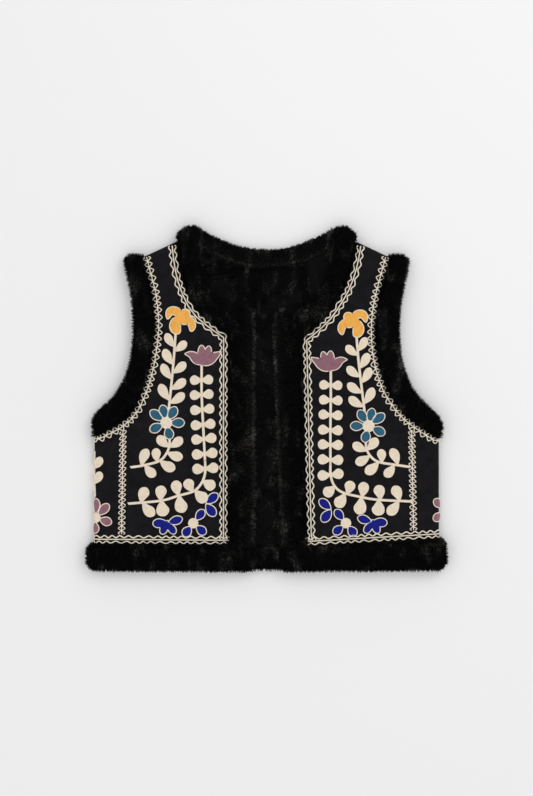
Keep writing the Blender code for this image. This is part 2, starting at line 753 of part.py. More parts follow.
def make_side_braid(collection, side):
    """The braid down the seam between a front and its side piece."""
    low, high = SIDE_SEAM[side]
    sign = SIDES[side]
    hem = offset_line(seam_of(HEM[side][1:]), (GAP + BRAID_OFF_SEAM + WIDE_BRAID + BRAID_END_GAP) * sign)
    seam = seam_of(sampled(ARMHOLE[side]))
    head_line = offset_line(seam, (GAP + BRAID_OFF_SEAM + NARROW_BRAID + BRAID_END_GAP) * sign)
    lines = []
    for step in range(SIDE_ROWS + 1):
        pair = []
        for half in (-SIDE_BRAID / 2, SIDE_BRAID / 2):
            foot_x, head_x = low.x + half * sign, high.x + half * sign
            foot = (foot_x, height_at(hem, foot_x))
            head = (head_x, height_at(head_line, head_x))
            pair.append(on_front(lerp(foot, head, step / SIDE_ROWS)))
        lines.append(pair)
    strip(collection, f"side_braid_{side}", lines)


def main():
    for existing in list(bpy.data.objects):
        bpy.data.objects.remove(existing, do_unlink=True)
    collection = bpy.data.collections.new("gilet")
    bpy.context.scene.collection.children.link(collection)
    make_back(collection)
    make_hem(collection)
    make_back_neck_band(collection)
    for side in SIDES:
        make_front(collection, side)
        make_side(collection, side)
        make_armhole_band(collection, side)
        make_neck_band(collection, side)
        make_front_band(collection, side)
        make_edge_braid(collection, side)
        make_hem_braid(collection, side)
        make_armhole_braid(collection, side)
        make_side_braid(collection, side)


main()
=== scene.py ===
"""The looks of a cropped, fur-trimmed gilet with sewn braid and embroidery, laid flat with its front up.

The frame is in metres, with +Z up. Sizes here are in millimetres, and MM turns them to metres where a mesh
is made. Left and right are as the garment is seen.
"""

from __future__ import annotations

import logging
import math
from dataclasses import dataclass, field
from enum import Enum

import bmesh
import bpy
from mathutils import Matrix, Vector, noise
from mathutils.bvhtree import BVHTree


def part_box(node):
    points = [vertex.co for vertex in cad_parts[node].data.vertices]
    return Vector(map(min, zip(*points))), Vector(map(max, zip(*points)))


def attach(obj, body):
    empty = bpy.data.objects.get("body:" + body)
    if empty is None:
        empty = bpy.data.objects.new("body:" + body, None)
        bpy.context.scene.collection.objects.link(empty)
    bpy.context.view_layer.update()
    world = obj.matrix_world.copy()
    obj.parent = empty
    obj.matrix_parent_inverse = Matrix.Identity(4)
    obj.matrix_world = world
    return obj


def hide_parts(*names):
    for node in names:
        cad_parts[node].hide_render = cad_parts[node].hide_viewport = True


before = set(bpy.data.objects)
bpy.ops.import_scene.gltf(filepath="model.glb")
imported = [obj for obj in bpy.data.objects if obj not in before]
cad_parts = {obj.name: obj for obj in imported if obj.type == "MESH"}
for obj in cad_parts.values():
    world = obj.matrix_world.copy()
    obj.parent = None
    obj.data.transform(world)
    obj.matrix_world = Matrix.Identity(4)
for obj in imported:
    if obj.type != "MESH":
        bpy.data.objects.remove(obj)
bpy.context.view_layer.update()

LOG = logging.getLogger("gilet")
MM = 0.001
TAU = math.tau
UP = Vector((0.0, 0.0, 1.0))
BODY = "root"
MERGE_MM = 0.01  # corners of a CAD mesh that are closer than this are one
JOIN_UNDER_DEG = 35.0  # triangles that bend less than this were one panel
JOIN_SHAPE_DEG = 60.0
EDGE_OVER_DEG = 50.0  # edges that bend more than this stay sharp on cloth and lining
CREASE_SHARPNESS = 0.9
HAIR_FLOOR_MM = 0.1  # hairs and skins stay this far over the floor
SKIN_FLOOR_MM = 0.2
Point = tuple[float, float]
Stitch = list[tuple[float, float, float]]
Colour = tuple[float, float, float, float]
Socket = bpy.types.NodeSocket


class Side(Enum):
    """A side of the garment, as it is seen."""

    LEFT = "left"
    RIGHT = "right"

    @property
    def sign(self) -> int:
        """The sign of x on this side."""
        return -1 if self is Side.LEFT else 1


def linear(code: str) -> Colour:
    """Turns an sRGB hex colour to linear RGBA.

    Args:
        code: The colour, such as "#d8cab6".

    Returns:
        Red, green, blue and alpha, as a shader takes them.
    """
    values = [int(code[i : i + 2], 16) / 255 for i in (1, 3, 5)]
    curved = [v / 12.92 if v <= 0.04045 else ((v + 0.055) / 1.055) ** 2.4 for v in values]
    return (*curved, 1.0)


def add_node(
    tree: bpy.types.NodeTree, kind: str, inputs: dict | None = None, **settings: object
) -> bpy.types.Node:
    """Adds a node with its settings, values and links.

    Args:
        tree: The shader or geometry tree that gets the node.
        kind: The node's type.
        inputs: By name or place of the socket, its value or the output socket that feeds it.
        **settings: Properties of the node.

    Returns:
        The new node.
    """
    node = tree.nodes.new(kind)
    for name, value in settings.items():
        setattr(node, name, value)
    for key, value in (inputs or {}).items():
        if isinstance(value, bpy.types.NodeSocket):
            tree.links.new(value, node.inputs[key])
        else:
            node.inputs[key].default_value = value
    return node


class Finish:
    """A material's shader tree, with the steps that the garment's finishes share."""

    def __init__(self, name: str) -> None:
        """Starts an empty material.

        Args:
            name: The material's name.
        """
        self.material = bpy.data.materials.new(name)
        self.material.use_nodes = True
        self.tree = self.material.node_tree
        self.tree.nodes.clear()

    def place(self) -> Socket:
        """Gives the place on the garment that patterns are drawn by."""
        return add_node(self.tree, "ShaderNodeTexCoord").outputs["Object"]

    def speckle(self, place: Socket, size_mm: float, **more: float) -> Socket:
        """Adds noise.

        Args:
            place: The place.
            size_mm: The size of its specks.
            **more: Other inputs of the noise.

        Returns:
            Its value, from 0 to 1.
        """
        inputs = {"Vector": place, "Scale": 1 / (size_mm * MM), **more}
        return add_node(self.tree, "ShaderNodeTexNoise", inputs).outputs["Fac"]

    def marked(self, name: str) -> Socket:
        """Reads a number that the mesh carries under a name."""
        return add_node(self.tree, "ShaderNodeAttribute", attribute_name=name).outputs["Fac"]

    def maths(self, operation: str, *values: object) -> Socket:
        """Adds a sum on numbers, whose inputs follow the operation."""
        return add_node(
            self.tree, "ShaderNodeMath", dict(enumerate(values)), operation=operation
        ).outputs[0]

    def between(self, value: Socket, low: float, high: float) -> Socket:
        """Turns a value to its share of the way from low to high."""
        inputs = {"Value": value, "From Min": low, "From Max": high}
        return add_node(self.tree, "ShaderNodeMapRange", inputs).outputs[0]

    def mix(self, share: Socket, first: object, second: object) -> Socket:
        """Mixes two colours, of which share 1 is the second."""
        inputs = {"Factor": share, 6: first, 7: second}
        return add_node(self.tree, "ShaderNodeMix", inputs, data_type="RGBA").outputs[2]

    def relief(self, height: Socket, depth_mm: float, strength: float) -> Socket:
        """Turns a height to the normal of a finely uneven surface."""
        inputs = {"Height": height, "Distance": depth_mm * MM, "Strength": strength}
        return add_node(self.tree, "ShaderNodeBump", inputs).outputs["Normal"]

    def end(self, inputs: dict) -> bpy.types.Material:
        """Ends the tree in its surface.

        Args:
            inputs: The surface shader's inputs.

        Returns:
            The material.
        """
        surface = add_node(self.tree, "ShaderNodeBsdfPrincipled", inputs)
        add_node(self.tree, "ShaderNodeOutputMaterial", {"Surface": surface.outputs[0]})
        return self.material


@dataclass(frozen=True)
class FeltedWool:
    """Black felted wool, woven and then milled: matt, with a short nap that hides the threads."""

    deep: str = "#0f0e10"
    worn: str = "#1c1a1d"
    worn_from: float = 0.12
    worn_to: float = 0.42
    nap_mm: float = 0.9
    mottle_mm: float = 14.0
    thread_mm: float = 1.1  # real threads are 0.4 mm apart, too fine to show
    thread_share: float = 0.3
    relief_mm: float = 0.25
    roughness: float = 0.92
    specular: float = 0.1
    sheen: float = 0.02

    def build(self) -> bpy.types.Material:
        """Builds the material: nap and faint twill as bump, slow mottling as colour.

        Returns:
            The wool.
        """
        wool = Finish("felted_wool_black")
        place = wool.place()
        mottle = wool.speckle(place, self.mottle_mm)
        nap = wool.speckle(place, self.nap_mm, Detail=4.0)
        shade = wool.between(wool.maths("MULTIPLY", mottle, nap), self.worn_from, self.worn_to)
        twill = add_node(
            wool.tree,
            "ShaderNodeTexWave",
            {"Vector": place, "Scale": 1 / (self.thread_mm * MM * TAU), "Distortion": 1.5},
            bands_direction="DIAGONAL",
        )
        height = wool.maths("MULTIPLY_ADD", twill.outputs["Fac"], self.thread_share, nap)
        return wool.end(
            {
                "Base Color": wool.mix(shade, linear(self.deep), linear(self.worn)),
                "Roughness": self.roughness,
                "Specular IOR Level": self.specular,
                "Sheen Weight": self.sheen,
                "Sheen Roughness": 0.5,
                "Normal": wool.relief(height, self.relief_mm, 0.7),
            }
        )


@dataclass(frozen=True)
class PlushFur:
    """Black plush fur, dense and sheared: light only catches the tips, on the crowns of the tufts, and this
    sheen is painted as paler tips.
    """

    root: str = "#030303"
    tip: str = "#0c0b0b"
    # Painted sheen: the tips turn towards this pale colour in noise patches of about tuft_mm, between
    # pale_from and pale_to, and on faces turned a chosen way.
    sheen_tip: str = "#8f8c87"
    pale_from: float = 0.53
    pale_to: float = 0.72
    tuft_mm: float = 16.0
    drawn_out: tuple[float, float, float] = (1.0, 0.5, 1.0)  # the painted sheen's patches are twice as long up the garment
    tip_power: float = 1.6
    roughness: float = 0.6
    specular: float = 0.06
    sheen: float = 0.015

    def build(self) -> bpy.types.Material:
        """Builds the material: dark roots, and a painted sheen that makes the tips paler in noise patches
        and on faces turned a chosen way.

        Returns:
            The fur.
        """
        plush = Finish("plush_fur_black")
        drawn = add_node(
            plush.tree, "ShaderNodeMapping", {"Vector": plush.place(), "Scale": self.drawn_out}
        ).outputs[0]
        # Painted highlight: pale tips in noise patches, standing in for light on the crowns of the tufts.
        patch = plush.speckle(drawn, self.tuft_mm, Detail=3.0, Roughness=0.6)
        pale = plush.between(patch, self.pale_from, self.pale_to)
        # Painted highlight: more pale tips on faces turned the chosen way, broken up by the patches.
        painted_sheen_share = plush.maths("MULTIPLY_ADD", plush.marked("painted_sheen"), patch, pale)
        tips = plush.mix(painted_sheen_share, linear(self.tip), linear(self.sheen_tip))
        up_hair = plush.maths("POWER", plush.marked("tip"), self.tip_power)
        return plush.end(
            {
                "Base Color": plush.mix(up_hair, linear(self.root), tips),
                "Roughness": self.roughness,
                "Specular IOR Level": self.specular,
                "Sheen Weight": self.sheen,
                "Sheen Roughness": 0.4,
            }
        )


@dataclass(frozen=True)
class Thread:
    """Spun embroidery or braid yarn: soft, slightly silky, with the twist of its plies showing."""

    name: str
    pale: str
    deep: str
    pale_from: float = 0.55
    pale_to: float = 1.35
    twist_mm: float = 1.3
    twist_share: float = 0.3
    fibre_mm: float = 0.6
    patch_mm: float = 5.0
    relief_mm: float = 0.12
    roughness: float = 0.62
    specular: float = 0.25
    sheen: float = 0.08

    def build(self) -> bpy.types.Material:
        """Builds the material: bands along each thread for its twist, fibres as bump, uneven dye, and
        painted shade in the grooves of the twist and fibres, where the colour follows the bump's height.

        Returns:
            The yarn.
        """
        yarn = Finish(self.name)
        place = yarn.place()
        dye = yarn.speckle(place, self.patch_mm, Detail=2.0)
        fibre = yarn.speckle(place, self.fibre_mm, Detail=3.0)
        turns = yarn.maths("MULTIPLY", yarn.marked("along"), TAU / (self.twist_mm * MM))
        height = yarn.maths("MULTIPLY_ADD", yarn.maths("SINE", turns), self.twist_share, fibre)
        # Colour from uneven dye, which is real, and from the bump's height, which paints shade into the
        # grooves of the twist and the fibres.
        shade = yarn.between(yarn.maths("ADD", dye, height), self.pale_from, self.pale_to)
        return yarn.end(
            {
                "Base Color": yarn.mix(shade, linear(self.deep), linear(self.pale)),
                "Roughness": self.roughness,
                "Specular IOR Level": self.specular,
                "Sheen Weight": self.sheen,
                "Sheen Roughness": 0.4,
                "Normal": yarn.relief(height, self.relief_mm, 0.6),
            }
        )


@dataclass(frozen=True)
class StudioPaper:
    """Matt paper on the studio floor, plain and pale."""

    colour: str = "#f4f4f4"

    def build(self) -> bpy.types.Material:
        """Builds the material.

        Returns:
            The paper.
        """
        return Finish("studio_paper").end(
            {"Base Color": linear(self.colour), "Roughness": 0.95, "Specular IOR Level": 0.0}
        )


class Yarn(Enum):
    """The colours of yarn, by the record's material slot."""

    BRAID = "braid"
    CREAM = "thread_cream"
    YELLOW = "thread_yellow"
    MAUVE = "thread_mauve"
    TEAL = "thread_teal"
    BLUE = "thread_blue"


# Each yarn's pale and deep colours; the deep end is reached partly by uneven dye and partly by painted
# shade in the grooves.
THREADS = {
    Yarn.BRAID: Thread("cotton_braid_cream", "#fdf3e2", "#d8ccb6"),
    Yarn.CREAM: Thread("wool_yarn_cream", "#fbeedb", "#e4d7c2"),
    Yarn.YELLOW: Thread("wool_yarn_yellow", "#ffca66", "#eda94a"),
    Yarn.MAUVE: Thread("wool_yarn_mauve", "#aa7b88", "#86606d"),
    Yarn.TEAL: Thread("wool_yarn_teal", "#387692", "#22506a"),
    Yarn.BLUE: Thread("wool_yarn_royal_blue", "#001aa0", "#000b68"),
}


WANDERS_MM = ((1.0, 83.0), (-1.0, 61.0))  # each waving cord's side of the braid, and the pitch of its drift


class Tool:
    """A Geometry Nodes tree with named inputs, which turns an object into a plain mesh."""

    def __init__(self, name: str, inputs: dict[str, tuple[str, object]]) -> None:
        """Starts a tree.

        Args:
            name: The tree's name.
            inputs: By name, each input's kind of socket (after NodeSocket) and its value at first.
        """
        self.tree = bpy.data.node_groups.new(name, "GeometryNodeTree")
        self.tree.interface.new_socket("Geometry", in_out="INPUT", socket_type="NodeSocketGeometry")
        self.tree.interface.new_socket("Geometry", in_out="OUTPUT", socket_type="NodeSocketGeometry")
        for label, (kind, value) in inputs.items():
            socket = self.tree.interface.new_socket(label, in_out="INPUT", socket_type=f"NodeSocket{kind}")
            if value is not None:
                socket.default_value = value
        self.source = add_node(self.tree, "NodeGroupInput").outputs

    def add(self, kind: str, inputs: dict | None = None, **settings: object) -> bpy.types.Node:
        """Adds a node to this tree, as add_node does."""
        return add_node(self.tree, kind, inputs, **settings)

    def maths(self, operation: str, *values: object) -> Socket:
        """Adds a sum on numbers.

        Args:
            operation: The Math node's operation.
            *values: Its inputs in order.

        Returns:
            The result.
        """
        return self.add("ShaderNodeMath", dict(enumerate(values)), operation=operation).outputs[0]

    def vectors(self, operation: str, *values: object) -> Socket:
        """Adds a sum on vectors.

        Args:
            operation: The Vector Math node's operation. SCALE takes the vector and then the number.
            *values: Its inputs in order.

        Returns:
            The resulting vector.
        """
        keys = (0, "Scale") if operation == "SCALE" else range(len(values))
        node = self.add("ShaderNodeVectorMath", dict(zip(keys, values)), operation=operation)
        return node.outputs["Vector"]

    def attribute(self, name: str, kind: str = "FLOAT") -> Socket:
        """Reads a named attribute.

        Args:
            name: The attribute's name.
            kind: Its data type.

        Returns:
            Its value.
        """
        read = self.add("GeometryNodeInputNamedAttribute", {"Name": name}, data_type=kind)
        return read.outputs["Attribute"]

    def end(self, geometry: Socket) -> None:
        """Ends the tree in Realize Instances and Set Material.

        Args:
            geometry: What the tree has made.
        """
        real = self.add("GeometryNodeRealizeInstances", {"Geometry": geometry})
        dressed = self.add(
            "GeometryNodeSetMaterial", {"Geometry": real.outputs[0], "Material": self.source["Material"]}
        )
        self.add("NodeGroupOutput", {"Geometry": dressed.outputs[0]})

    def apply(self, obj: bpy.types.Object, **values: object) -> None:
        """Runs the tree on an object and keeps the result as its mesh.

        Args:
            obj: The object, whose own mesh is the tree's input.
            **values: The inputs, by name in lower case with _ for a space.
        """
        modifier = obj.modifiers.new(self.tree.name, "NODES")
        modifier.node_group = self.tree
        for item in self.tree.interface.items_tree:
            key = item.name.lower().replace(" ", "_")
            if item.in_out == "INPUT" and key in values:
                modifier[item.identifier] = values[key]
        made = bpy.data.meshes.new_from_object(obj.evaluated_get(bpy.context.evaluated_depsgraph_get()))
        obj.modifiers.remove(modifier)
        old = obj.data
        obj.data = made
        made.name = obj.name
        bpy.data.meshes.remove(old)


def pile_tool() -> Tool:
    """Builds the tree that sets fur on a skin: tapered hairs in tufts, which lean together.

    The skin has two attributes: pile, the share of the full number of hairs, and reach, the hairs' length
    in metres. A third, the painted highlight on faces turned a chosen way, goes with the skin and its hairs
    to the material.

    Returns:
        The tree.
    """
    tool = Tool(
        "pile",
        {
            "Hairs": ("Float", 1.5e6),
            "Hair Radius": ("Float", 0.4 * MM),
            "Lean": ("Float", 0.35),
            "Tuft Pitch": ("Float", 6 * MM),
            "Tuft Pull": ("Float", 0.5),
            "Sway Pitch": ("Float", 11 * MM),
            "Shortest": ("Float", 0.78),
            "Longest": ("Float", 1.12),
            "Floor": ("Float", HAIR_FLOOR_MM * MM),
            "Keep Skin": ("Bool", True),
            "Seed": ("Int", 1),
            "Material": ("Material", None),
        },
    )
    source = tool.source
    skin = source["Geometry"]
    share = tool.attribute("pile")
    roots = tool.add(
        "GeometryNodeDistributePointsOnFaces",
        {"Mesh": skin, "Density": tool.maths("MULTIPLY", share, source["Hairs"]), "Seed": source["Seed"]},
    )
    standing = tool.add(
        "GeometryNodeStoreNamedAttribute",
        {"Geometry": roots.outputs["Points"], "Name": "stand", "Value": roots.outputs["Normal"]},
        data_type="FLOAT_VECTOR",
    )
    per_area = tool.maths("DIVIDE", 1.0, tool.maths("MULTIPLY", source["Tuft Pitch"], source["Tuft Pitch"]))
    tufts = tool.add(
        "GeometryNodeDistributePointsOnFaces",
        {"Mesh": skin, "Density": per_area, "Seed": tool.maths("ADD", source["Seed"], 7.0)},
    )
    place = tool.add("GeometryNodeInputPosition").outputs[0]
    nearest = tool.add("GeometryNodeSampleNearest", {"Geometry": tufts.outputs["Points"]}, domain="POINT")
    middle = tool.add(
        "GeometryNodeSampleIndex",
        {"Geometry": tufts.outputs["Points"], "Value": place, "Index": nearest.outputs[0]},
        data_type="FLOAT_VECTOR",
        domain="POINT",
    )
    inward = tool.vectors("SCALE", tool.vectors("SUBTRACT", middle.outputs[0], place), source["Tuft Pull"])
    sway = tool.add(
        "ShaderNodeTexNoise",
        {"Vector": place, "Scale": tool.maths("DIVIDE", 1.0, source["Sway Pitch"]), "Detail": 2.0},
    )
    wander = tool.vectors("SUBTRACT", sway.outputs["Color"], (0.5, 0.5, 0.5))
    length = tool.attribute("reach")
    most = tool.maths("MULTIPLY", length, tool.maths("MULTIPLY", source["Lean"], 2.0))
    lean = tool.vectors("SCALE", wander, most)
    upright = tool.vectors("SCALE", tool.attribute("stand", "FLOAT_VECTOR"), length)
    towards = tool.vectors("ADD", upright, tool.vectors("ADD", lean, inward))
    turned = tool.add("FunctionNodeAlignRotationToVector", {"Vector": towards}, axis="Z")
    spin = tool.add(
        "FunctionNodeRandomValue",
        {"Min": (0.0, 0.0, 0.0), "Max": (0.0, 0.0, TAU)},
        data_type="FLOAT_VECTOR",
    )
    spun = tool.add(
        "FunctionNodeRotateRotation",
        {"Rotation": turned.outputs[0], "Rotate By": spin.outputs[0]},
        rotation_space="LOCAL",
    )
    uneven = tool.add(
        "FunctionNodeRandomValue",
        {2: source["Shortest"], 3: source["Longest"], "Seed": 3},
        data_type="FLOAT",
    )
    tall = tool.maths("MULTIPLY", length, uneven.outputs[1])
    size = tool.add("ShaderNodeCombineXYZ", {0: source["Hair Radius"], 1: source["Hair Radius"], 2: tall})
    hair = tool.add(
        "GeometryNodeMeshCone",
        {"Vertices": 3, "Side Segments": 1, "Radius Top": 0.0, "Radius Bottom": 1.0, "Depth": 1.0},
        fill_type="NGON",
    )
    along = tool.add("GeometryNodeInputPosition").outputs[0]
    height = tool.add("ShaderNodeSeparateXYZ", {0: along}).outputs[2]
    graded = tool.add(
        "GeometryNodeStoreNamedAttribute",
        {"Geometry": hair.outputs["Mesh"], "Name": "tip", "Value": height},
        data_type="FLOAT",
    )
    hairs = tool.add(
        "GeometryNodeInstanceOnPoints",
        {
            "Points": standing.outputs[0],
            "Instance": graded.outputs[0],
            "Rotation": spun.outputs[0],
            "Scale": size.outputs[0],
        },
    )
    real = tool.add("GeometryNodeRealizeInstances", {"Geometry": hairs.outputs[0]})
    split = tool.add("ShaderNodeSeparateXYZ", {0: tool.add("GeometryNodeInputPosition").outputs[0]})
    over = tool.maths("MAXIMUM", split.outputs[2], source["Floor"])
    pressed = tool.add("ShaderNodeCombineXYZ", {0: split.outputs[0], 1: split.outputs[1], 2: over})
    laid = tool.add(
        "GeometryNodeSetPosition", {"Geometry": real.outputs[0], "Position": pressed.outputs[0]}
    )
    backing = tool.add(
        "GeometryNodeSwitch", {"Switch": source["Keep Skin"], "True": skin}, input_type="GEOMETRY"
    )
    both = tool.add("GeometryNodeJoinGeometry")
    tool.tree.links.new(backing.outputs[0], both.inputs[0])
    tool.tree.links.new(laid.outputs[0], both.inputs[0])
    soft = tool.add("GeometryNodeSetShadeSmooth", {"Geometry": both.outputs[0]})
    tool.end(soft.outputs[0])
    return tool


def yarn_tool() -> Tool:
    """Builds the tree that turns drawn lines into stitched yarn, thicker in the middle of each stitch.

    Returns:
        The tree.
    """
    tool = Tool(
        "yarn",
        {
            "Radius": ("Float", 0.45 * MM),
            "Step": ("Float", 1.4 * MM),
            "Stitch": ("Float", 2.4 * MM),
            "Swell": ("Float", 0.0),
            "Sides": ("Int", 4),
            "Material": ("Material", None),
        },
    )
    source = tool.source
    lines = tool.add("GeometryNodeMeshToCurve", {"Mesh": source["Geometry"]})
    even = tool.add(
        "GeometryNodeResampleCurve", {"Curve": lines.outputs[0], "Length": source["Step"]}, mode="LENGTH"
    )
    along = tool.add("GeometryNodeSplineParameter").outputs["Length"]
    turns = tool.maths("MULTIPLY", tool.maths("DIVIDE", along, source["Stitch"]), TAU)
    wave = tool.maths("MULTIPLY", tool.maths("SINE", turns), source["Swell"])
    sized = tool.add(
        "GeometryNodeSetCurveRadius", {"Curve": even.outputs[0], "Radius": tool.maths("ADD", wave, 1.0)}
    )
    tool.end(lay_yarn(tool, sized.outputs[0], along))
    return tool


def lay_yarn(tool: Tool, curve: Socket, along: Socket) -> Socket:
    """Gives curves the body of a yarn, and the attribute that its twist follows.

    Args:
        tool: The tree, with inputs named Radius and Sides.
        curve: The curves.
        along: The distance along each of them.

    Returns:
        The yarn's mesh.
    """
    marked = tool.add(
        "GeometryNodeStoreNamedAttribute",
        {"Geometry": curve, "Name": "along", "Value": along},
        data_type="FLOAT",
    )
    section = tool.add(
        "GeometryNodeCurvePrimitiveCircle",
        {"Resolution": tool.source["Sides"], "Radius": tool.source["Radius"]},
    )
    body = tool.add(
        "GeometryNodeCurveToMesh",
        {"Curve": marked.outputs[0], "Profile Curve": section.outputs[0], "Fill Caps": True},
    )
    return tool.add("GeometryNodeSetShadeSmooth", {"Geometry": body.outputs[0]}).outputs[0]


def braid_tool() -> Tool:
    """Builds the tree for a braid: two cords that wave about its middle line, and one that follows it.

    The line has a vector attribute, across, which is half of the braid's width. The two cords wander off
    their even waves, each at its own pitch, so that they look laid by hand.

    Returns:
        The tree.
    """
    tool = Tool(
        "braid",
        {
            "Radius": ("Float", 0.9 * MM),
            "Period": ("Float", 13.5 * MM),
            "Near": ("Float", 0.2),
            "Far": ("Float", 0.85),
            "Drift": ("Float", 1.1),
            "Step": ("Float", 0.9 * MM),
            "Sides": ("Int", 6),
            "Material": ("Material", None),
        },
    )
    source = tool.source
    line = tool.add("GeometryNodeMeshToCurve", {"Mesh": source["Geometry"]})
    even = tool.add(
        "GeometryNodeResampleCurve", {"Curve": line.outputs[0], "Length": source["Step"]}, mode="LENGTH"
    ).outputs[0]
    along = tool.add("GeometryNodeSplineParameter").outputs["Length"]
    even_turns = tool.maths("MULTIPLY", tool.maths("DIVIDE", along, source["Period"]), TAU)
    span = tool.maths("SUBTRACT", source["Far"], source["Near"])
    across = tool.attribute("across", "FLOAT_VECTOR")
    cords = tool.add("GeometryNodeJoinGeometry")
    for way, wander_mm in WANDERS_MM:
        wander = tool.maths("SINE", tool.maths("MULTIPLY", along, TAU / (wander_mm * MM)))
        turns = tool.maths("ADD", even_turns, tool.maths("MULTIPLY", wander, source["Drift"]))
        share = tool.maths("MULTIPLY_ADD", tool.maths("SINE", turns), 0.5, 0.5)
        offset = tool.maths("ADD", source["Near"], tool.maths("MULTIPLY", share, span))
        aside = tool.vectors("SCALE", across, tool.maths("MULTIPLY", offset, way))
        moved = tool.add("GeometryNodeSetPosition", {"Geometry": even, "Offset": aside})
        tool.tree.links.new(lay_yarn(tool, moved.outputs[0], along), cords.inputs[0])
    tool.tree.links.new(lay_yarn(tool, even, along), cords.inputs[0])
    tool.end(cords.outputs[0])
    return tool


def new_piece(name: str, mesh: bpy.types.Mesh) -> bpy.types.Object:
    """Puts a mesh in the scene as a piece.

    Args:
        name: The piece's name.
        mesh: Its mesh.

    Returns:
        The piece.
    """
    made = bpy.data.objects.new(name, mesh)
    bpy.context.scene.collection.objects.link(made)
    return made


def hand_in(piece: bpy.types.Object, slot: str, *nodes: str) -> bpy.types.Object:
    """Rides a piece on the garment and hides the CAD nodes that it replaces.

    Args:
        piece: The finished piece.
        slot: The record's material slot. Not used.
        *nodes: The CAD nodes that it replaces.

    Returns:
        The piece.
    """
    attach(piece, BODY)
    if nodes:
        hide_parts(*nodes)
    LOG.info("%s: %d faces", piece.name, len(piece.data.polygons))
    return piece


def merged_copy(node: str) -> bmesh.types.BMesh:
    """Copies a CAD node's mesh, with its corners merged and its triangles joined to the panels they were.

    Args:
        node: The node's name.

    Returns:
        The copy.
    """
    bm = bmesh.new()
    bm.from_mesh(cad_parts[node].data)
    bmesh.ops.remove_doubles(bm, verts=bm.verts, dist=MERGE_MM * MM)
    bmesh.ops.join_triangles(
        bm,
        faces=bm.faces,
        angle_face_threshold=math.radians(JOIN_UNDER_DEG),
        angle_shape_threshold=math.radians(JOIN_SHAPE_DEG),
    )
    return bm


def subdivided(
    name: str, bm: bmesh.types.BMesh, levels: int, crease_over: float | None = None
) -> bpy.types.Mesh:
    """Rounds a mesh with Subdivision Surface.

    Args:
        name: The new mesh's name.
        bm: The mesh, which is freed.
        levels: How often each face is divided.
        crease_over: Edges that bend more than this, in degrees, stay sharp. None rounds them all.

    Returns:
        The rounded mesh.
    """
    if crease_over is not None:
        crease = bm.edges.layers.float.new("crease_edge")
        for edge in bm.edges:
            if len(edge.link_faces) == 2 and edge.calc_face_angle() > math.radians(crease_over):
                edge[crease] = CREASE_SHARPNESS
    mesh = bpy.data.meshes.new(name)
    bm.to_mesh(mesh)
    bm.free()
    holder = bpy.data.objects.new(name, mesh)
    bpy.context.scene.collection.objects.link(holder)
    modifier = holder.modifiers.new("rounding", "SUBSURF")
    modifier.levels = modifier.render_levels = levels
    rounded = bpy.data.meshes.new_from_object(holder.evaluated_get(bpy.context.evaluated_depsgraph_get()))
    bpy.data.objects.remove(holder)
    bpy.data.meshes.remove(mesh)
    rounded.name = name
    return rounded


def search_tree(*meshes: bpy.types.Mesh) -> BVHTree:
    """Makes a search tree over meshes.

    Args:
        *meshes: The meshes.

    Returns:
        The tree.
    """
    points: list[Vector] = []
    faces: list[list[int]] = []
    for mesh in meshes:
        first = len(points)
        points.extend(vertex.co.copy() for vertex in mesh.vertices)
        faces.extend([first + corner for corner in polygon.vertices] for polygon in mesh.polygons)
    return BVHTree.FromPolygons(points, faces)


